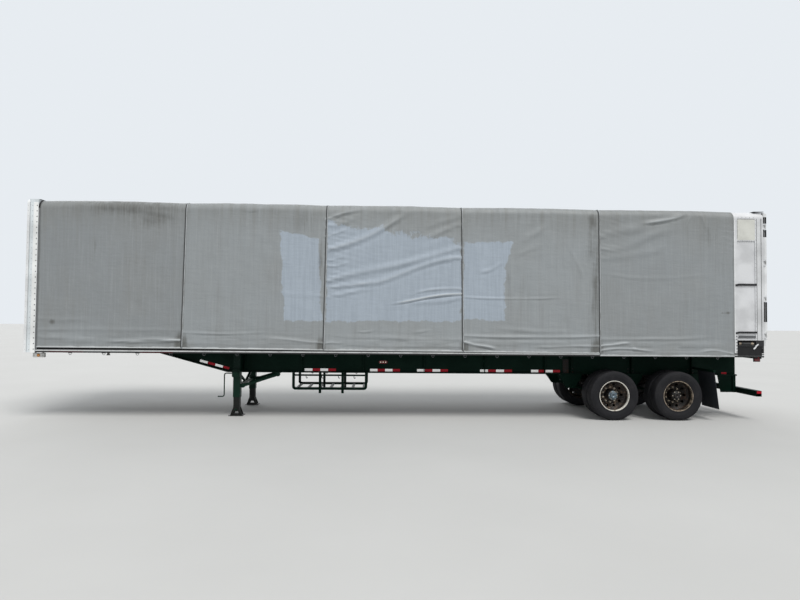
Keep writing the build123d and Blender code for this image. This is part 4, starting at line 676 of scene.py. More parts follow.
# Folds of the left side: points along each ridge, its half-width and its height.
# The right side has the same ones with front and rear swapped.
FOLDS = (
    (((-5.60, 1.430), (-5.02, 1.462), (-4.30, 1.480)), 0.030, 0.016),
    (((-5.31, 1.388), (-4.90, 1.425), (-4.35, 1.452)), 0.022, 0.012),
    (((-6.60, 1.830), (-6.09, 1.826), (-5.70, 1.815)), 0.040, 0.005),
    (((-6.67, 1.640), (-5.50, 1.652), (-4.26, 1.650)), 0.035, 0.006),
    (((-6.00, 4.000), (-5.20, 3.900), (-4.30, 3.780)), 0.050, 0.006),
    (((-6.60, 1.500), (-6.20, 1.470), (-5.80, 1.460)), 0.050, 0.008),
    (((-3.97, 1.603), (-3.36, 1.596), (-2.54, 1.627)), 0.022, 0.008),
    (((-2.77, 1.518), (-2.30, 1.498), (-1.57, 1.444)), 0.028, 0.014),
    (((-3.10, 3.905), (-2.90, 3.893), (-2.75, 3.908)), 0.022, 0.006),
    (((-4.00, 1.420), (-3.40, 1.400), (-2.80, 1.420)), 0.035, 0.007),
    (((-2.45, 2.400), (-2.00, 2.330), (-1.58, 2.310)), 0.045, 0.004),
    (((-1.47, 3.790), (-1.07, 3.907), (-0.70, 4.000)), 0.035, 0.016),
    (((-1.45, 3.620), (-1.20, 3.700), (-0.90, 3.800)), 0.050, 0.010),
    (((-1.47, 3.450), (-1.30, 3.500), (-1.10, 3.590)), 0.030, 0.009),
    (((-1.45, 3.180), (-0.79, 3.430), (-0.16, 3.780), (0.16, 3.960)), 0.055, 0.022),
    (((-1.47, 2.980), (-1.32, 3.010), (-1.12, 3.070)), 0.025, 0.006),
    (((-1.47, 2.860), (-1.32, 2.885), (-1.05, 2.960)), 0.028, 0.008),
    (((-1.47, 2.740), (-1.30, 2.760), (-1.15, 2.800)), 0.025, 0.006),
    (((-1.45, 2.600), (-0.60, 2.820), (0.10, 2.990), (0.95, 3.220)), 0.060, 0.018),
    (((-1.10, 2.560), (-0.07, 2.748), (0.45, 2.951), (1.03, 3.080)), 0.050, 0.018),
    (((-1.46, 2.460), (-1.00, 2.530), (-0.55, 2.610)), 0.040, 0.012),
    (((-1.48, 2.310), (-0.99, 2.395), (-0.50, 2.485)), 0.040, 0.010),
    (((0.05, 2.330), (0.46, 2.450), (0.98, 2.475)), 0.025, 0.010),
    (((-0.32, 2.165), (0.24, 2.278), (0.68, 2.348), (1.05, 2.385)), 0.021, 0.018),
    (((0.10, 2.180), (0.52, 2.225), (0.98, 2.290)), 0.045, 0.010),
    (((-0.51, 3.985), (-0.21, 3.995), (0.12, 4.010)), 0.022, 0.008),
    (((0.20, 3.930), (0.40, 3.957), (0.62, 3.990)), 0.022, 0.008),
    (((0.28, 3.420), (0.60, 3.530), (0.98, 3.690)), 0.050, 0.012),
    (((0.35, 3.620), (0.70, 3.750), (1.02, 3.860)), 0.050, 0.008),
    (((-0.90, 1.650), (-0.74, 1.652), (-0.60, 1.652)), 0.020, 0.008),
    (((-1.50, 1.440), (-1.39, 1.440), (-1.15, 1.442)), 0.020, 0.010),
    (((0.10, 1.645), (0.31, 1.665), (0.50, 1.690)), 0.025, 0.006),
    (((-1.30, 1.550), (-0.30, 1.530), (0.90, 1.520)), 0.035, 0.007),
    (((-1.20, 1.400), (0.00, 1.390), (0.90, 1.385)), 0.028, 0.008),
    (((1.30, 2.318), (2.14, 2.300), (3.05, 2.345)), 0.021, 0.008),
    (((1.38, 2.780), (1.65, 2.875), (1.86, 3.000)), 0.035, 0.010),
    (((2.05, 3.120), (2.33, 3.220), (2.66, 3.360)), 0.050, 0.006),
    (((2.12, 3.360), (2.42, 3.540), (2.75, 3.720)), 0.060, 0.010),
    (((3.08, 3.400), (3.45, 2.600)), 0.030, 0.006),
    (((2.66, 4.050), (2.75, 4.010), (2.84, 3.940)), 0.025, 0.014),
    (((1.20, 1.600), (2.12, 1.575), (2.91, 1.580), (3.60, 1.610)), 0.028, 0.013),
    (((1.60, 1.735), (2.25, 1.700), (3.20, 1.690)), 0.040, 0.008),
    (((1.20, 1.455), (1.46, 1.405), (1.80, 1.335)), 0.024, 0.020),
    (((1.20, 1.480), (2.40, 1.475), (3.40, 1.470)), 0.030, 0.006),
    (((2.40, 1.395), (2.91, 1.405), (3.50, 1.420)), 0.025, 0.012),
    (((4.45, 3.770), (4.79, 3.805), (5.11, 3.883), (5.60, 4.060)), 0.035, 0.020),
    (((5.60, 4.060), (5.72, 3.900), (5.80, 3.640)), 0.032, 0.010),
    (((3.72, 3.505), (4.14, 3.621), (4.71, 3.753)), 0.080, 0.012),
    (((3.72, 3.272), (4.21, 3.328), (4.71, 3.532), (5.26, 3.638)), 0.075, 0.012),
    (((3.72, 3.101), (4.34, 3.158), (5.11, 3.390)), 0.070, 0.009),
    (((3.77, 2.796), (4.91, 2.725), (5.93, 2.823)), 0.035, 0.004),
    (((3.72, 1.560), (4.66, 1.555), (6.00, 1.620)), 0.028, 0.010),
    (((3.75, 1.423), (4.01, 1.461), (4.38, 1.478)), 0.022, 0.019),
    (((3.75, 1.348), (4.01, 1.372), (4.33, 1.367), (4.90, 1.325)), 0.021, 0.016),
    (((4.30, 1.440), (4.43, 1.355)), 0.025, 0.010),
    (((5.55, 1.290), (6.02, 1.345), (6.31, 1.290)), 0.024, 0.014),
)

# Small puckers beside a seam of the left side, where the cloth is gathered by its stitches
PUCKERS = (
    # seam, side of it, z low, z high, reach, rise
    (1, -1, 3.3, 4.0, 0.12, 0.003),
    (2, 1, 2.2, 3.95, 0.30, 0.006),
    (2, -1, 1.9, 3.5, 0.10, 0.003),
    (3, -1, 2.6, 3.8, 0.16, 0.003),
    (4, 1, 3.1, 4.0, 0.22, 0.005),
    (4, -1, 2.4, 3.9, 0.12, 0.003),
    (5, -1, 2.0, 4.0, 0.12, 0.003),
)

# Washed patches of the left side: corners going round from the top edge, and how soft that edge is
PATCHES = (
    (((-2.37, 3.54), (-1.64, 3.39), (-1.56, 1.83), (-2.27, 1.84)), 1.0),
    (((-1.49, 3.70), (1.06, 3.38), (1.06, 1.86), (-1.49, 1.84)), 0.3),
    (((1.09, 3.37), (2.03, 3.38), (1.92, 2.95), (1.09, 2.95)), 1.0),
    (((1.09, 3.20), (1.90, 3.20), (1.89, 1.88), (1.09, 1.89)), 1.0),
)

# Lighter and darker places of the left side
TONES = (
    # x, z, half width, half height, share
    (-6.05, 1.50, 0.75, 0.22, 0.55),
    (-6.50, 3.00, 0.35, 1.20, -0.15),
    (-0.95, 3.80, 0.60, 0.25, 0.30),
    (0.50, 1.60, 1.00, 0.20, 0.15),
    (5.20, 1.45, 1.20, 0.12, 0.25),
)

# Dirt on the left side
SMUDGES = (
    # x, z, half width, half height, share
    (-4.16, 1.38, 0.11, 0.20, 1.70),
    (-4.12, 2.60, 0.03, 1.20, 0.40),
    (-1.61, 2.95, 0.05, 0.50, 0.70),
    (-1.57, 1.36, 0.08, 0.17, 1.50),
    (1.12, 1.36, 0.09, 0.18, 1.20),
    (1.05, 2.70, 0.02, 1.10, 0.35),
    (3.57, 3.80, 0.10, 0.20, 0.75),
    (3.52, 3.30, 0.14, 0.50, 0.45),
    (3.62, 2.50, 0.08, 1.20, 0.80),
    (3.50, 2.20, 0.02, 0.90, 0.45),
    (3.65, 1.36, 0.11, 0.20, 1.60),
    (-5.10, 3.92, 1.00, 0.16, 0.80),
    (-4.70, 3.80, 0.55, 0.28, 0.62),
    (-5.76, 3.20, 0.04, 0.25, 0.50),
    (-5.05, 2.90, 0.30, 0.10, 0.25),
    (5.85, 3.60, 0.20, 0.30, 0.40),
    (-6.50, 1.785, 0.05, 0.05, 1.10),
    (6.10, 2.068, 0.035, 0.020, 0.90),
    (6.21, 2.072, 0.055, 0.028, 0.95),
    (0.05, 3.52, 0.35, 0.13, 0.32),
    (-3.00, 3.90, 0.90, 0.12, 0.25),
    (-1.95, 3.72, 0.32, 0.25, 0.40),
    (2.20, 3.85, 0.90, 0.12, 0.22),
    (1.96, 2.55, 0.05, 0.60, 0.35),
)


def seen_from_left(x, y):
    """x as it is on the left side, and with front and rear swapped on the right."""
    return np.where(y < 0, x, cover_low.x + cover_high.x - x)


def bell(value, centre, half):
    """1 at the centre, falling away on both sides by the half width: e to the minus square."""
    return np.exp(-(((value - centre) / half) ** 2))


def bells(spots, x, z):
    """The listed bells at each point, one after the other: each falls away from its centre by its own
    half width and half height."""
    for centre_x, centre_z, half_x, half_z, share in spots:
        yield share * np.exp(-(((x - centre_x) / half_x) ** 2) - ((z - centre_z) / half_z) ** 2)


def fold_height(x, z):
    """Ridges along the listed lines, each a smooth curve through its points.

    Across the line a ridge is a bell with a narrower groove below it and a faint one above. It fades
    towards an end that lies free, runs on to a seam that lies near its end, and stays in its own bay.
    The second result is the same ridges, each as high as it is sharp.
    """
    near = 0.22
    fade_length = 0.35
    total = np.zeros(np.broadcast(x, z).shape)
    crease = np.zeros(total.shape)
    bay_of = np.floor((x - cover_low.x) / bay_length)
    for number, (points, width, rise) in enumerate(FOLDS):
        line = np.asarray(points)
        curve = np.polyfit(line[:, 0], line[:, 1], len(line) - 1)
        first, last = line[0, 0], line[-1, 0]
        reach = np.clip(x, first - 0.2, last + 0.2)
        slope = np.polyval(np.polyder(curve), reach)
        level = np.polyval(curve, reach) + slope * (x - reach)
        off = (z - level) / np.sqrt(1 + slope**2)
        along = (x - first) / (last - first)
        if abs(last - first) < 0.5 * abs(line[-1, 1] - line[0, 1]):
            along = (z - line[0, 1]) / (line[-1, 1] - line[0, 1])
        off = off + 0.25 * width * np.sin(7 * along + 3 * number)
        near_first = np.min(np.abs(np.array(seam_foot) - first)) < near
        near_last = np.min(np.abs(np.array(seam_foot) - last)) < near
        start = 1.0 if near_first else np.clip(along / fade_length + 0.1, 0, 1)
        end = 1.0 if near_last else np.clip((1 - along) / fade_length + 0.1, 0, 1)
        own_bay = bay_of == np.floor((line[:, 0].mean() - cover_low.x) / bay_length)
        fade = np.clip(start * end, 0, 1) * own_bay
        swell = 1 + 0.25 * np.sin(9 * along + 5 * number)
        u = off / width
        sharp = min(1.0, rise / width)
        ridge = bell(u, 0, 1) - (0.1 + 0.6 * sharp) * bell(u, -1.5, 0.75) - 0.15 * bell(u, 1.8, 1)
        ridge = ridge * fade**2 * (3 - 2 * fade)
        total += rise * swell * ridge
        crease += sharp * ridge
    return total, crease


def pucker_height(x, z):
    """Short waves up each listed stretch of seam, dying away with the distance from the seam."""
    total = np.zeros(np.broadcast(x, z).shape)
    middle_z = (cover_low.z + cover_high.z) / 2
    wobble = smooth_waves(x * 0.3, z, 0.5, 41)
    for seam, side, z_low, z_high, reach, rise in PUCKERS:
        lean = seam_lean[seam] * (z - middle_z) / (cover_high.z - cover_low.z)
        away = side * (x - seam_foot[seam] - lean)
        stretch = np.clip(np.minimum(z - z_low, z_high - z) / 0.12, 0, 1)
        near = np.where(away > 0, np.exp(-away / reach), 0)
        total += rise * stretch * near * np.sin(2 * np.pi * (z + 0.25 * x) / 0.105 + 2.2 * wobble)
    return total


def bay_surface(bay):
    """One bay of the cover: the arch line carried along x, then pushed in and out along its normals.

    The cloth lies on the bow at each end, and for as long beside it as it needs to with the cover slid
    forward. Between the bows the sides slacken and the roof crowns by half a sine, with cloudy waves, the
    listed folds and puckers, and long ripples near the hem and the roof edge.
    """
    place, out = arch_line(cover_high.y, cover_high.z, hem_foot, cover_corner, side_columns,
                           corner_columns, roof_columns, hem_steps=(0, 0.006, 0.012, 0.018, 0.026, 0.036))
    share = np.linspace(0, 1, rows_per_bay)[:, None]
    drop = hem_drops[bay][0] + share * (hem_drops[bay][1] - hem_drops[bay][0])
    y, z = place[None, :, 0], place[None, :, 1]
    z = z - drop * np.clip(1 - (z - hem_foot) / 0.40, 0, 1)
    above_hem = z - hem_foot + drop
    height = (z - cover_low.z) / (cover_high.z - cover_low.z)
    start = seam_foot[bay] + seam_lean[bay] * height
    end = seam_foot[bay + 1] + seam_lean[bay + 1] * height
    x = start + share * (end - start)
    run = np.concatenate([[0], np.cumsum(np.linalg.norm(np.diff(place, axis=0), axis=1))])[None]
    free = np.sin(np.pi * share)
    roof_share = np.abs(out[None, :, 1])
    side_share = 1 - roof_share
    seen_x = seen_from_left(x, y)
    push = -0.006 * free * side_share + 0.016 * free * roof_share
    push = push + 0.006 * free**0.5 * smooth_waves(x, run, 1.3, 3 + bay)
    push = push + 0.0016 * smooth_waves(x, run, 0.33, 11 + bay)
    low_zone = bell(z, 1.45, 0.20) * side_share
    push = push + 0.0040 * low_zone * smooth_waves(0.12 * x, run, 0.13, 23 + bay)
    top_zone = bell(z, 3.90, 0.16)
    push = push + 0.0035 * top_zone * smooth_waves(x, 0.35 * run, 0.22, 31 + bay)
    fold, crease = fold_height(seen_x, z)
    push = push + (fold + pucker_height(seen_x, z)) * side_share
    pinned = np.clip(np.minimum(share, 1 - share) * bay_length / 0.045, 0, 1)
    push = push * pinned**0.7
    hem = np.clip(1 - above_hem / 0.12, 0, 1) * side_share
    push = push + 0.005 * hem * pinned * smooth_waves(x, 0.1 * run, 0.9, 21)
    near_bow = np.minimum(np.abs(x - seam_foot[bay]), np.abs(x - seam_foot[bay + 1]))
    push = np.maximum(push, -0.3 * np.clip(near_bow - bow_half / cover_keep - 0.02, 0, 1))
    near_carriage = np.maximum(near_bow - carriage_half / cover_keep, np.abs(z - carriage_z) - 0.030)
    push = np.maximum(push, -0.3 * np.clip(near_carriage, 0, 1))
    push = np.maximum(push, np.where(z < 1.32, track_high.y + 0.008 - cover_high.y, -1.0))
    push = push + 0.0035 * side_share * bell(above_hem, 0.011, 0.009)
    push = push + 0.001
    points = np.stack([x, y + out[None, :, 0] * push, z + out[None, :, 1] * push], -1)
    return points, np.minimum(x - start, end - x), above_hem, crease * side_share


def washed_share(x, y, z):
    """How far inside the nearest washed patch a point of the left side lies, in metres, below 0 outside:
    the least distance to the patch's straight edges, its top edge's shortened by its softness."""
    inside = np.full(x.shape, -1.0)
    for corners, softness in PATCHES:
        corners = np.asarray(corners)
        ahead = np.roll(corners, -1, 0) - corners
        ahead /= np.linalg.norm(ahead, axis=1, keepdims=True)
        off = (z[:, None] - corners[None, :, 1]) * ahead[None, :, 0]
        off = (x[:, None] - corners[None, :, 0]) * ahead[None, :, 1] - off
        off[:, 0] *= softness
        inside = np.maximum(inside, off.min(1))
    return np.where(y < 0, inside, -1.0)


def smudge_share(x, y, z):
    """The most of the listed smudges at each point."""
    total = np.zeros(x.shape)
    for bell in bells(SMUDGES, seen_from_left(x, y), z):
        total = np.maximum(total, bell)
    return total


def tone_share(x, y, z, start):
    """The bay's own tone with the listed lighter and darker places added."""
    total = np.full(x.shape, start)
    for bell in bells(TONES, seen_from_left(x, y), z):
        total = total + bell
    return np.clip(total, 0, 1.2)


def gathered(thing):
    """Gives a piece its own copy of its mesh."""
    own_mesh(thing)


cloth = tarp_cloth()
bay_tones = (0.10, 0.70, 0.90, 0.80, 0.42)
hem_to_hem = 2 * (cover_high.z - cover_corner - hem_foot) + np.pi * cover_corner
hem_to_hem += 2 * (cover_high.y - cover_corner)
for bay in range(bay_count):
    points, near_seam, above_hem, crease = bay_surface(bay)
    thing = piece(f"tarp_bay_{bay + 1}", grid_shape(points), cloth, smooth=True, merge=False)
    flat = points.reshape(-1, 3)
    numbers = (washed_share(*flat.T), near_seam, smudge_share(*flat.T), tone_share(*flat.T, bay_tones[bay]),
               above_hem, crease)
    for label, values in zip(TARP_LABELS, numbers):
        layer = thing.data.attributes.new(label, "FLOAT", "POINT")
        layer.data.foreach_set("value", np.ascontiguousarray(values, np.float32).reshape(-1))
    wall = thing.modifiers.new("cloth", "SOLIDIFY")
    wall.thickness = cloth_wall
    wall.offset = -1
    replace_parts(thing, "tarp_cover")
    gathered(thing)

# Seams: a dark tape and a light welt beside it, along each leaning seam
turn = np.linspace(0, 2 * np.pi, 8, endpoint=False)
for seam in range(1, bay_count):
    x = seam_foot[seam]
    foot = hem_foot + 0.002 - hem_drops[seam - 1][1]
    cover_line = arch_line(cover_high.y, cover_high.z, foot, cover_corner, 40, 8, 12)
    lean = seam_lean[seam] * (cover_line[0][:, 1] - cover_low.z) / (cover_high.z - cover_low.z)
    flat = [(x - 0.015, 0.0005), (x - 0.015, 0.0035), (x + 0.003, 0.0045), (x + 0.003, 0.0005)]
    welt = np.stack([x + 0.014 + 0.0085 * np.cos(turn), 0.0050 + 0.0055 * np.sin(turn)], -1)
    # The dark tape is painted shade of the gap beside each seam, with some dirt.
    gathered(piece(f"dark_strap_and_seam_shade_{seam}", along_arch(cover_line, flat, lean), dark_strap_and_seam_shade))
    gathered(piece(f"seam_welt_{seam}", along_arch(cover_line, welt, lean), seam_welt,
                   smooth=True))


# The bulkhead: rivets, corner trim, and the rubber seal in front of the tarp

bulk_half = bulk_high.y
rivet = (0.0065, 0.0035)
rows = [(upright(x, bulk_half, bulk_low.z + 0.05, 3.93), 0.10)
        for x in (bulk_low.x + 0.020, bulk_high.x - 0.105)]
shapes = both([row_of_heads(*row, OUT, *rivet) for row in rows])
rows = [(upright(bulk_low.x, y, bulk_low.z + 0.05, 4.00), 0.10) for y in np.linspace(-1.26, 1.26, 9)]
rows += [(((bulk_low.x, -1.20, z), (bulk_low.x, 1.20, z)), 0.08) for z in (bulk_low.z + 0.03, 4.015)]
shapes += [row_of_heads(*row, (-1, 0, 0), *rivet) for row in rows]
piece("bulkhead_rivets", shapes, rivet_metal)

bulkhead_line = arch_line(bulk_half, bulk_high.z, bulk_low.z, bulkhead_corner, 24, 8, 10)
edge = bulk_high.x
strip = [(edge - 0.085, 0.0002), (edge - 0.085, 0.0018), (edge - 0.080, 0.0030), (edge - 0.006, 0.0030),
         (edge - 0.001, 0.0018), (edge - 0.001, 0.0002)]
piece("bulkhead_edge_strip", along_arch(bulkhead_line, strip), bright_trim)
face = bulk_low.x
corner = [(face - 0.0015, 0.0012), (face - 0.0015, 0.0025), (face + 0.045, 0.0025), (face + 0.045, 0.0002),
          (face + 0.001, 0.0002), (face + 0.001, -0.04), (face - 0.0015, -0.04)]
piece("bulkhead_corner_trim", along_arch(bulkhead_line, corner), white_trim)
row = upright(edge - 0.022, bulk_half + 0.003, bulk_low.z + 0.06, 3.93)
piece("bulkhead_strip_bolts", both([row_of_heads(row, 0.10, OUT, 0.011, 0.004)]), dark_paint)

seal = [(edge + 0.0005, -0.004), (edge + 0.0005, 0.003), (edge + 0.012, 0.006), (cover_low.x - 0.001, 0.002),
        (cover_low.x - 0.001, -0.004)]
seal_line = arch_line(cover_high.y, cover_high.z, cover_low.z, cover_corner, 24, 10, 10)
piece("bulkhead_seal", along_arch(seal_line, seal), joint_paste)
fillet = [(edge + 0.0003, -0.003), (edge + 0.0003, 0.008), (edge + 0.012, 0.010),
          (cover_low.x + 0.004, 0.005), (cover_low.x - 0.0005, -0.003)]
pick = (seal_line[0][:, 1] > 3.80) & (seal_line[0][:, 0] > 1.0)
shapes = both([along_arch((seal_line[0][pick], seal_line[1][pick]), fillet)])
pick = bulkhead_line[0][:, 1] > bulk_high.z - 0.02
brim = [(edge - 0.070, 0.0032), (edge - 0.066, 0.0075), (edge - 0.004, 0.0105), (edge + 0.008, 0.008),
        (edge + 0.008, 0.0032)]
shapes.append(along_arch((bulkhead_line[0][pick], bulkhead_line[1][pick]), brim))
piece("bulkhead_rain_strip", shapes, seal_rubber)

# Lamp box under the front end of each side rail
box_low, box_high = bulk_high.x - 0.067, bulk_high.x + 0.146
lamp_face, lamp_level = 1.236, 1.167
lugs = [[(x, x + 0.03), (1.190, 1.226), (1.204, 1.224)] for x in (box_low + 0.02, box_high - 0.05)]
box = slabs([[(box_low, box_high), (1.180, lamp_face), (1.128, 1.206)], *lugs])
bevelled(piece("front_lamp_boxes", both([box]), zinc), 0.008, 3)
dome = [(0, 0.001), (0, 0.030), (0.004, 0.030), (0.012, 0.022), (0.016, 0.010), (0.017, 0.001)]
dome = turned(dome, ((box_low + box_high) / 2, lamp_face, lamp_level), 24)
piece("front_lamp_lenses", both([dome]), amber_lens, smooth=True)
places = [(x, lamp_face, lamp_level) for x in (box_low + 0.025, box_high - 0.025)]
piece("front_lamp_bolts", both([heads(places, OUT, 0.008, 0.005)]), dark_paint)


# Side rails: rivets on the track, lashing hooks under it and worn tape along its foot

track_face = track_high.y
row = ((track_low.x + 0.15, track_face, 1.263), (track_high.x - 0.7, track_face, 1.263))
piece("rail_rivets", both([row_of_heads(row, 0.305, OUT, 0.006, 0.0012)]), rivet_metal)
hooks = []
hook_turn = np.linspace(-0.35, np.pi + 0.35, 9)
for x in np.arange(track_low.x + 0.62, track_high.x - 0.8, 0.61):
    loop = [x + 0.024 * np.cos(hook_turn), np.full(9, 1.252), 1.206 - 0.026 * np.sin(hook_turn)]
    hooks.append(round_bar(np.stack(loop, -1), 0.0045, 6))
    hooks.append(slabs([[(x - 0.034, x + 0.034), (1.240, 1.264), (1.212, 1.2225)]]))
piece("lashing_hooks", both(hooks), rail_grey)
tapes = [[run, (track_face, track_face + 0.0012), (1.226, 1.246)] for run in ((-6.55, -5.93), (-4.90, -4.30))]
piece("rail_tapes", both([slabs(tapes)]), old_tape)


# Rear frame: rivets, bars over the panel's rails, door seals and trim

skin_y = skin_high.y
front_x, front_end = post_front
rear_x = post_rear[0]
rivet = (0.0055, 0.003)
rows = [(((front_end + 0.02, skin_y, z), (rear_x - 0.02, skin_y, z)), 0.048) for z in (3.454, 3.474)]
rows += [(upright(x, skin_y, panel_foot + 0.05, 3.87), pitch)
         for x, pitch in ((front_x + 0.012, 0.10), (rear_x + 0.010, 0.075), (rear_x + 0.122, 0.075))]
rows.append((((front_end + 0.03, skin_y, 3.925), (rear_x - 0.03, skin_y, 3.925)), 0.07))
shapes = [row_of_heads(*row, OUT, *rivet) for row in rows]
piece("frame_rivets", both(shapes), rivet_metal, "rear_frame")

droop = np.array([(front_end - 0.036, -0.014), (front_end - 0.008, -0.012), (front_end + 0.020, -0.002),
                  (front_end + 0.050, 0.0), (rear_x - 0.02, 0.0), (rear_x + 0.022, 0.003)])
bars, bolts = [], []
for z, width in ((panel_foot + 0.164, 0.036), (panel_foot + 1.083, 0.040)):
    bars.append(flat_bar(droop + (0, z), skin_y + 0.0003, skin_y + 0.008, width))
    bolts.append(heads([(rear_x + 0.004, skin_y + 0.007, z + 0.002)], OUT, 0.013, 0.008))
row = upright(front_x + 0.042, skin_y + 0.003, 1.325, 1.685)
bolts.append(row_of_heads(row, 0.06, OUT, 0.010, 0.006, *FLAT_HEX))
piece("panel_bars", both(bars), dark_paint, "rear_frame")

proud = (skin_y - 0.001, skin_y + 0.003)
rail = [(front_end + 0.018, rear_x - 0.002), proud, (panel_foot + 0.058, panel_foot + 0.104)]
piece("panel_rail_faces", both([slabs([rail])]), rail_grey, "rear_frame")
joints = [[(x - wide / 2, x + wide / 2), proud, (low, 3.90)]
          for x, wide, low in ((rear_x + 0.028, 0.007, panel_foot + 0.01), (rear_x + 0.116, 0.010, 1.56))]
piece("post_joints", both([slabs(joints)]), joint_paste, "rear_frame")
ridges = [[(rear_x + d - 0.004, rear_x + d + 0.004), proud, (panel_foot + 0.01, 3.86)]
          for d in (0.048, 0.070, 0.096)]
bevelled(piece("post_ridges", both([slabs(ridges)]), white_trim, "rear_frame"), 0.0015)
sheet = [(front_end + 0.012, rear_x - 0.006), (skin_y - 0.001, skin_y + 0.0012), (3.482, 3.884)]
piece("panel_top_sheets", both([slabs([sheet])]), warm_white, "rear_frame")
strips = [[(front_x + 0.002, front_x + 0.022), proud, (1.555, 3.87)],
          [(front_x + 0.002, front_x + 0.053), proud, (1.300, 1.560)]]
piece("post_strips", both([slabs(strips)]), white_trim, "rear_frame")
piece("frame_bolts", both(bolts), dark_paint, "rear_frame")

# Rubber cap over each rear roof corner
outline = np.array([(6.752, 1.130), (6.752, 1.245), (6.950, 1.255), (6.950, 1.205)])
ring = [np.column_stack([outline, np.full(4, skin_high.z + lift)]) for lift in (0.0005, 0.009)]
piece("roof_corner_caps", both([capped(np.stack(ring))]), seal_rubber, "rear_frame")

# Tension gear: a bolted skirt over the track, a roller with its wound strap, a ratchet, a lever and a latch
# The black skirt hangs there to make the space under the roller look dark: painted shade.
skirt_inner, skirt_outer, strip_face = 1.2850, 1.2885, 1.2925
skirt_x = np.linspace(front_end + 0.003, rear_x + 0.116, 30)
x, z = np.meshgrid(skirt_x, np.linspace(1.252, 1.440, 10), indexing="ij")
wave = 0.0022 * np.sin(2 * np.pi * x / 0.13) * np.clip((1.43 - z) / 0.15, 0, 1) ** 2
inner = np.stack([x, skirt_inner + wave, z], -1)
outer = np.stack([x, skirt_outer + wave, z], -1)
shade_skirts = [capped(np.concatenate([inner, outer[:, ::-1]], 1)),
          slabs([[(skirt_x[0], skirt_x[-1]), (skirt_outer, strip_face), (1.418, 1.438)]])]
row = ((skirt_x[0] + 0.02, strip_face, 1.428), (skirt_x[-1] - 0.02, strip_face, 1.428))
bolts = [row_of_heads(row, 0.075, OUT, 0.008, 0.005, *FLAT_HEX)]

roller_y, roller_z = 1.2557, 1.484
tube = [(6.427, 0.002), (6.427, 0.021), (6.431, 0.023), (6.718, 0.023), (6.722, 0.021), (6.722, 0.002)]
collars = [[(x, 0.010), (x, 0.0275), (x + 0.002, 0.029), (x + 0.006, 0.029), (x + 0.008, 0.0275),
            (x + 0.008, 0.010)]
           for x in (6.462, 6.672)]
teeth = 12
wheel = [(6.690, 0.008), (6.690, 0.026), (6.700, 0.026), (6.700, 0.008)]
saw = 0.004 * (np.arange(teeth * 4) % 4)[:, None] / 3 * np.array([0, 1, 1, 0])[None]
wound = [(6.476, 0.012), (6.476, 0.0262), (6.664, 0.0262), (6.664, 0.012)]
ripple = 0.0007 * np.sin(np.linspace(0, 6 * np.pi, 36))[:, None] * np.ones((1, 4))
rollers, straps = [], []
for _, side in SIDES:
    middle = (0, side * roller_y, roller_z)
    rollers += [turned(line, middle, 24, "X") for line in (tube, *collars)]
    rollers.append(turned(wheel, middle, teeth * 4, "X", saw))
    straps.append(turned(wound, middle, 36, "X", ripple))

stands = []
arc = np.linspace(0, np.pi, 9)
top = np.stack([roller_y + 0.026 * np.cos(arc), roller_z + 0.004 + 0.024 * np.sin(arc)], -1)
outline = np.concatenate([top, [(roller_y - 0.028, 1.4585), (roller_y + 0.028, 1.4585)]])
for x in (6.425, 6.726):
    plate = [np.column_stack([np.full(len(outline), x + d), outline]) for d in (-0.006, 0.006)]
    stands.append(capped(np.stack(plate)))
lever = [(6.700, 1.378), (6.712, 1.388), (6.745, 1.418), (6.752, 1.440), (6.790, 1.470), (6.800, 1.478)]
levers = [flat_bar(lever, 1.2930, 1.2985, np.array([0.016, 0.032, 0.028, 0.028, 0.026, 0.014])),
          heads([(6.716, 1.2985, 1.390)], OUT, 0.014, 0.006, 12, 0.9, 0.8)]
latches = [slabs([[(6.872, 6.908), (1.281, 1.2955), (1.318, 1.392)],
                  [(6.866, 6.914), (1.279, 1.2895), (1.300, 1.322)]]),
           heads([(6.890, 1.2955, 1.366)], OUT, 0.014, 0.010, 10, 0.9, 0.8)]
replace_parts(piece("tension_skirts", both(shade_skirts), seal_rubber, "rear_frame"), "tension_levers")
piece("tension_bolts", both(bolts), dark_paint, "rear_frame")
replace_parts(piece("tension_rollers", rollers, dark_nut, "rear_frame"), "tension_levers")
piece("tension_straps", straps, dark_strap_and_seam_shade, "rear_frame", smooth=True)
piece("tension_stands", both(stands), dark_paint, "rear_frame")
levers = piece("tension_lever_bars", both(levers), white_trim, "rear_frame")
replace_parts(bevelled(levers, 0.0015), "tension_levers")
bevelled(piece("tension_latches", both(latches), dark_paint, "rear_frame"), 0.003)


# Rear doors: gaskets, edge strips and plates, rivets and hinge bolts, each with its leaf

hinge_heights = (1.650, 2.350, 3.050, 3.750)
inner_y, outer_y = 0.006, 1.266
z_low, z_high = door_low.z + 0.002, door_high.z - 0.002
thick = (door_low.x - 0.0035, door_low.x)
width = 0.022
gasket = slabs([
    [thick, (inner_y, outer_y), (z_low, z_low + width)],
    [thick, (inner_y, outer_y), (z_high - width, z_high)],
    [thick, (inner_y, inner_y + width), (z_low + width, z_high - width)],
    [thick, (outer_y - width, outer_y), (z_low + width, z_high - width)],
])
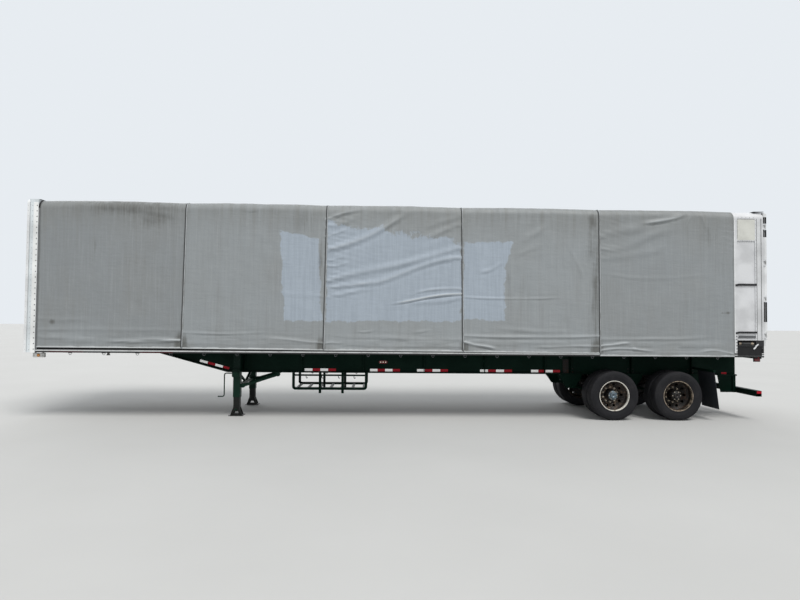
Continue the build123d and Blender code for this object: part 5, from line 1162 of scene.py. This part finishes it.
# Strips and plates leave room for the hinge ears that they swing past
gaps = ((1.555, 1.588), (1.712, 2.288), (2.412, 2.988), (3.112, 3.688), (3.812, 4.005))
guards = slabs([[(door_high.x + 0.0005, door_high.x + 0.041), (1.2535, 1.2665), gap] for gap in gaps])
marks = ((3.549, 3.688), (3.812, 3.937), (1.905, 2.288))
plates = slabs([[(door_high.x + 0.004, door_high.x + 0.038), (1.2668, 1.2683), mark] for mark in marks]
               + [[(6.923, 6.954), (1.268, 1.2693), mark] for mark in marks])
hinge_bolts = [heads([(6.964, y, z + d) for d in (-0.016, 0.016)], (1, 0, 0), 0.008, 0.005, *FLAT_HEX)
               for z in hinge_heights for y in (1.232, 1.140, 1.040)]
rows = [(upright(door_high.x, y, low, high), 0.08)
        for y in (0.050, 1.225) for low, high in ((1.72, 2.28), (2.42, 2.98), (3.12, 3.68))]
rows += [(((door_high.x, 0.20, z), (door_high.x, 1.18, z)), 0.07)
         for z in (door_low.z + 0.03, door_high.z - 0.03)]
rivets = [row_of_heads(*row, (1, 0, 0), 0.005, 0.003) for row in rows]
for name, side in SIDES:
    body = f"rear_door_{name}"
    piece(f"door_gasket_{name}", on_side([gasket], side), seal_rubber, body)
    guard = piece(f"door_edge_strips_{name}", on_side([guards], side), white_trim, body)
    bevelled(guard, 0.003)
    piece(f"door_edge_plates_{name}", on_side([plates], side), seal_rubber, body)
    piece(f"hinge_bolts_{name}", on_side(hinge_bolts, side), zinc, body)
    piece(f"door_rivets_{name}", on_side(rivets, side), rivet_metal, body)


# Wheels: ribbed tyres, nuts and hub caps

def tyre_profile():
    """The tyre's outline: from the bead up the side wall to the shoulder, with its ridges, then the
    tread's ribs and grooves, and the same wall mirrored, closed by the inner wall."""
    wall = [(0.0970, 0.2885), (0.1055, 0.2895), (0.1095, 0.296), (0.1110, 0.305), (0.1145, 0.308),
            (0.1150, 0.314), (0.1125, 0.318), (0.1175, 0.335), (0.1225, 0.358), (0.1243, 0.378),
            (0.1238, 0.396), (0.1225, 0.401), (0.1245, 0.404), (0.1245, 0.411), (0.1220, 0.414),
            (0.1190, 0.428), (0.1150, 0.440), (0.1110, 0.451), (0.1055, 0.459), (0.0985, 0.4635)]
    tread = []
    for groove in (-0.0585, -0.0195, 0.0195, 0.0585):
        crown = tyre_radius - 0.3 * groove**2
        tread += [(groove - 0.0060, crown), (groove - 0.0042, crown - 0.014),
                  (groove + 0.0042, crown - 0.014), (groove + 0.0060, crown)]
    left = [(-a, r) for a, r in wall]
    lining = [(0.090, 0.300), (0.110, 0.360), (0.104, 0.420), (0.080, 0.445)]
    return np.array(left + tread + wall[::-1] + lining + [(-a, r) for a, r in lining[::-1]])


profile = tyre_profile()
tyre_segments = 144
shoulder = (np.abs(profile[:, 0]) > 0.100) & (profile[:, 1] > 0.435)
notched = np.arange(tyre_segments) % 4 == 0
notch = np.where(notched[:, None] & shoulder[None], -0.0035, 0.0)
stud_turn = np.linspace(0, 2 * np.pi, 10, endpoint=False) + 0.31
cap_turn = np.linspace(0, 2 * np.pi, 6, endpoint=False)
stud_face, cap_face, cap_circle = dual_y + 0.011, 1.150, 0.076
cap = [(0, 0.004), (0, 0.086), (0.006, 0.086), (0.008, 0.070), (0.012, 0.060), (0.030, 0.056),
       (0.036, 0.050), (0.038, 0.034), (0.034, 0.030), (0.034, 0.004)]
for axle, cap_finish, nut_finish in (("front", cap_grey, nut_steel), ("rear", hub_iron, dark_nut)):
    x = axle_x[axle]
    tyres = [turned(profile, (x, dual_y + offset, axle_z), tyre_segments, "Y", notch)
             for offset in (-dual_spacing / 2, dual_spacing / 2)]
    studs = np.stack([x + stud_circle * np.cos(stud_turn), np.full(10, stud_face),
                      axle_z + stud_circle * np.sin(stud_turn)], -1)
    nuts = [heads(studs, OUT, 0.0200, 0.006, 12, 0.95, 0.9), heads(studs, OUT, 0.0165, 0.026, 6, 0.98, 0.95),
            heads(studs + (0, 0.026, 0), OUT, 0.0095, 0.014, 8, 0.9, 0.85)]
    caps = np.stack([x + cap_circle * np.cos(cap_turn), np.full(6, cap_face + 0.006),
                     axle_z + cap_circle * np.sin(cap_turn)], -1)
    for name, side in SIDES:
        wheel = f"{axle}_{name}"
        body = f"wheels_{wheel}"
        thing = piece(f"ribbed_tyres_{wheel}", on_side(tyres, side), tyre_rubber, body)
        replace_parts(thing, f"tyres_{wheel}")
        piece(f"wheel_nuts_{wheel}", on_side(nuts, side), nut_finish, body)
        hub_cap = on_side([turned(cap, (x, cap_face, axle_z), 32)], side)
        piece(f"hub_cap_{wheel}", hub_cap, cap_finish, body, smooth=True)
        bolts = on_side([heads(caps, OUT, 0.009, 0.007, *HEX)], side)
        piece(f"hub_cap_bolts_{wheel}", bolts, nut_steel, body)


# Tape on both beams: each piece by the x and z of its two ends and its height

tape_runs = ((-1.965, -1.341), (-0.662, -0.060), (0.282, 0.907), (1.556, 2.207), (2.595, 3.189))
tape_z = 0.868
tape_height = 0.050
thickness = 0.0012
white_rows, red_rows = [], []
for start, end in tape_runs:
    quarter = (end - start) / 4
    for number, rows in enumerate((white_rows, red_rows, white_rows, red_rows)):
        x0 = start + number * quarter
        rows.append((x0 + 0.001, tape_z, x0 + quarter - 0.001, tape_z, tape_height))
# The same tape along the sloping end of the nose
nose_x, nose_z = -4.03, 1.035
slope = (0.883 - nose_z) / (-3.455 - nose_x)
for x0, x1, rows in ((nose_x, -3.88, white_rows), (-3.868, -3.735, red_rows), (-3.73, -3.58, white_rows),
                     (-3.568, -3.455, red_rows)):
    rows.append((x0, nose_z + slope * (x0 - nose_x), x1, nose_z + slope * (x1 - nose_x), 0.046))
red_rows += [(6.285, tape_z, 6.330, tape_z, 0.060), (6.530, 0.850, 6.640, 0.850, 0.036)]
for name, rows, finish in (("white", white_rows, white_tape), ("red", red_rows, red_tape)):
    tapes = [flat_bar([(x0, z0), (x1, z1)], web_face, web_face + thickness, tall)
             for x0, z0, x1, z1, tall in rows]
    piece(f"beam_tape_{name}", both(tapes), finish)

# Tape along the guard and on its ends
guard_face = (guard_high.x, guard_high.x + thickness)
guard_band = (0.486, 0.536)
pair = 0.29875
whites, reds = [], []
for number in range(8):
    low = -4 * pair + number * pair
    whites.append([guard_face, (low + 0.15, low + 0.2985), guard_band])
    reds.append([guard_face, (low, low + 0.149), guard_band])
ends = slabs([[(guard_high.x - 0.095, guard_high.x - 0.004), (guard_high.y, guard_high.y + thickness),
               (0.520, 0.566)],
              [(6.822, 6.868), (1.2055, 1.2070), (1.200, 1.222)]])
piece("guard_tape_white", slabs(whites), white_tape)
piece("guard_tape_red", [slabs(reds), *both([ends])], red_tape)


# Lamps: rubber rings round the tail lamps, glowing dots in the marker lamps as painted glints, reflectors on
# the beam's end with a faint painted glow and a painted glint

lamp_z = (lamp_low.z + lamp_high.z) / 2
ring = [(0.0, 0.050), (0.0, 0.060), (0.010, 0.060), (0.016, 0.054), (0.016, 0.0503), (0.010, 0.050)]
rings = [turned(ring, (lamp_low.x, y, lamp_z), 28, "X") for y in (0.78, 0.90, 1.02)]
piece("tail_lamp_rings", both(rings), seal_rubber, smooth=True)
marker_x, marker_z = (marker_low.x + marker_high.x) / 2, (marker_low.z + marker_high.z) / 2
# Painted glints: glowing dots on each marker lamp.
glints = heads([(marker_x + d, marker_high.y, marker_z) for d in (-0.05, 0, 0.05)], OUT, 0.013, 0.004, 12,
             0.8, 0.7)
piece("marker_lamp_dots", both([glints]), painted_glint_dot, smooth=True)
# The reflector's red lens glows faintly though it is no lamp: painted light.
disc = [(0, 0.002), (0, 0.036), (0.008, 0.034), (0.010, 0.028), (0.010, 0.002)]
reflector_x = 6.356
reflector = turned(disc, (reflector_x, web_face, tape_z), 20)
piece("beam_reflectors", both([reflector]), red_lens)
# A painted glint: a glowing spot on each reflector.
spot = heads([(reflector_x, web_face + 0.010, tape_z)], OUT, 0.015, 0.006, 12, 0.8, 0.7)
piece("beam_reflector_glints", both([spot]), painted_glint_dot, smooth=True)
case = slabs([[(6.752, 6.880), (1.195, 1.222), (1.134, 1.206)],
              [(6.790, 6.842), (1.198, 1.208), (1.204, 1.224)]])
bevelled(piece("side_marker_cases", both([case]), dark_paint), 0.003)
glass = slabs([[(6.760, 6.872), (1.2215, 1.236), (1.142, 1.198)]])
bevelled(piece("side_marker_lenses", both([glass]), dim_lens), 0.006, 3)


# Frame fittings: gussets, U-bolts, tank straps, flap clamps, rack hooks, and bolts on the legs

gusset_face = web_face + 0.010
gusset = slabs([[(3.240, 3.360), (web_face, gusset_face), (0.832, 1.110)]])
piece("beam_gussets", both([gusset]), rusty_spring)
places = [(x, gusset_face, z) for x in (3.262, 3.338) for z in (0.87, 0.97, 1.07)]
bolts = [heads(places, OUT, 0.013, 0.009, *HEX)]
for x in axle_x.values():
    for hanger in (-0.62, 0.62):
        places = [(x + hanger + d, web_face, z) for d in (-0.05, 0.05) for z in (0.855, 0.92)]
        bolts.append(heads(places, OUT, 0.014, 0.010, *HEX))
piece("beam_bolts", both(bolts), rusty_spring)

u_bolts, plates, nuts = [], [], []
spring_y = 0.495
u_half = 0.047
for x in axle_x.values():
    for d in (-0.077, 0.077):
        over = np.stack([np.full(9, x + d), spring_y - u_half * np.cos(arc), 0.618 + 0.010 * np.sin(arc)], -1)
        foot, far = ([(x + d, spring_y + e, 0.372)] for e in (-u_half, u_half))
        u_bolts.append(round_bar(np.concatenate([foot, over, far]), 0.0085, 8))
        places = [(x + d, spring_y + e, 0.382) for e in (-u_half, u_half)]
        nuts.append(heads(places, (0, 0, -1), 0.015, 0.016, *HEX))
    plates.append(slabs([[(x - 0.100, x + 0.100), (spring_y - 0.062, spring_y + 0.062), (0.386, 0.398)]]))
piece("spring_u_bolts", both(u_bolts), rusty_spring, smooth=True)
piece("spring_u_bolt_nuts", both(nuts), rusty_spring)
bevelled(piece("spring_plates", both(plates), rusty_spring), 0.003)

tank_radius = 0.115
straps, cocks = [], []
band = [(-0.016, tank_radius - 0.001), (-0.016, tank_radius + 0.003), (0.016, tank_radius + 0.003),
        (0.016, tank_radius - 0.001)]
for x in (tank_low.x + tank_radius + 0.037, tank_high.x - tank_radius - 0.037):
    straps += [turned(band, (x, y, tank_low.z + tank_radius), 40) for y in (-0.22, 0.22)]
    cocks.append(heads([(x, 0.30, tank_low.z)], (0, 0, -1), 0.010, 0.022, 8, 0.7, 0.8))
piece("tank_straps", straps, zinc, smooth=True)
piece("tank_drain_cocks", cocks, zinc)

clamp_x = flap_low.x + 0.012
clamp = slabs([[(clamp_x, clamp_x + 0.005), (0.70, 1.268), (0.896, 0.926)]])
piece("flap_clamps", both([clamp]), zinc)
clamp_face, clamp_z = clamp_x + 0.005, 0.911
row = ((clamp_face, 0.73, clamp_z), (clamp_face, 1.24, clamp_z))
bolts = row_of_heads(row, 0.127, (1, 0, 0), 0.010, 0.007, *HEX)
piece("flap_bolts", both([bolts]), dark_paint)

hooks = []
hook_y = rack_high.y + 0.006
bend = np.linspace(0, np.pi * 0.9, 7)
for x in (-1.93, -1.62, -1.29, -0.98):
    line = [(x, hook_y, 0.775), (x, hook_y, 0.745)]
    line += [(x + 0.016 - 0.016 * math.cos(a), hook_y, 0.722 - 0.018 * math.sin(a)) for a in bend]
    hooks.append(round_bar(line, 0.0075, 6))
piece("rack_hooks", both(hooks), green, smooth=True)

leg_x = (foot_low.x + foot_high.x) / 2
bolts = [heads([(leg_x + d, 0.7975, z) for d in (-0.045, 0.045)], OUT, 0.012, 0.009, *HEX)
         for z in (0.86, 0.94, 1.02, 1.10)]
bolts.append(heads([(leg_x, foot_high.y - 0.011, 0.125)], OUT, 0.020, 0.010, 12, 0.85, 0.8))
piece("leg_bolts", both(bolts), leg_green)


# Lights, floor and camera

def link(thing):
    """Puts an object into the scene."""
    bpy.context.scene.collection.objects.link(thing)
    return thing


def camera():
    """The photograph's camera: turned by yaw, raised by pitch and tipped by roll from looking along +Y."""
    ahead = np.array([math.sin(camera_yaw), math.cos(camera_yaw), 0])
    right = np.array([math.cos(camera_yaw), -math.sin(camera_yaw), 0])
    up = np.array([0, 0, 1.0])
    view = ahead * math.cos(camera_pitch) + up * math.sin(camera_pitch)
    over = up * math.cos(camera_pitch) - ahead * math.sin(camera_pitch)
    data = bpy.data.cameras.new("photo_camera")
    data.sensor_width = sensor_width
    data.lens = focal_pixels / picture_width * sensor_width
    data.clip_end = 500
    thing = link(bpy.data.objects.new("photo_camera", data))
    turn = np.eye(4)
    turn[:3, 0] = right * math.cos(camera_roll) + over * math.sin(camera_roll)
    turn[:3, 1] = over * math.cos(camera_roll) - right * math.sin(camera_roll)
    turn[:3, 2] = -view
    turn[:3, 3] = camera_place
    thing.matrix_world = Matrix(turn.tolist())
    bpy.context.scene.camera = thing


def floor():
    """A wide pale floor at the ground."""
    size = 120.0
    mesh = bpy.data.meshes.new("floor")
    corners = [(-size, -size, 0), (size, -size, 0), (size, size, 0), (-size, size, 0)]
    mesh.from_pydata(corners, [], [(0, 1, 2, 3)])
    ground = Finish("pale_floor")
    tone = ground.mixed(ground.noise(0.4, 5), (0.47, 0.47, 0.46), (0.53, 0.53, 0.52))
    ground.tree.links.new(tone, ground.shader.inputs["Base Color"])
    ground.shader.inputs["Roughness"].default_value = 0.9
    mesh.materials.append(ground.material)
    link(bpy.data.objects.new("floor", mesh))


def sun(name, energy, angle, direction, colour=(1, 1, 1)):
    """A soft sun, shining from the given direction."""
    data = bpy.data.lights.new(name, "SUN")
    data.energy = energy
    data.angle = math.radians(angle)
    data.color = colour
    thing = link(bpy.data.objects.new(name, data))
    thing.rotation_euler = Vector(direction).to_track_quat("Z", "Y").to_euler()


def sky():
    """An even pale sky, a little brighter where it is seen or mirrored."""
    world = bpy.data.worlds.new("sky")
    bpy.context.scene.world = world
    world.use_nodes = True
    tree = world.node_tree
    tree.nodes.clear()
    path = put(tree, "ShaderNodeLightPath")
    seen = path.outputs["Is Camera Ray"]
    for kind in ("Is Glossy Ray", "Is Transmission Ray"):
        seen = put(tree, "ShaderNodeMath", {0: seen, 1: path.outputs[kind]}, operation="MAXIMUM").outputs[0]
    even = put(tree, "ShaderNodeBackground", {"Color": (0.93, 0.965, 1.0, 1), "Strength": 0.60})
    shown = put(tree, "ShaderNodeBackground", {"Color": (0.80, 0.84, 0.88, 1), "Strength": 1.0})
    both_skies = put(tree, "ShaderNodeMixShader", {0: seen, 1: even.outputs[0], 2: shown.outputs[0]})
    put(tree, "ShaderNodeOutputWorld", {"Surface": both_skies.outputs[0]})


camera()
floor()
sky()
sun("soft_sun", 2.3, 30, (0.22, -0.47, 0.855), (1.0, 0.985, 0.96))
sun("fill_sun", 0.9, 60, (-0.30, 0.80, 0.50))
bpy.context.scene.view_settings.view_transform = "Standard"
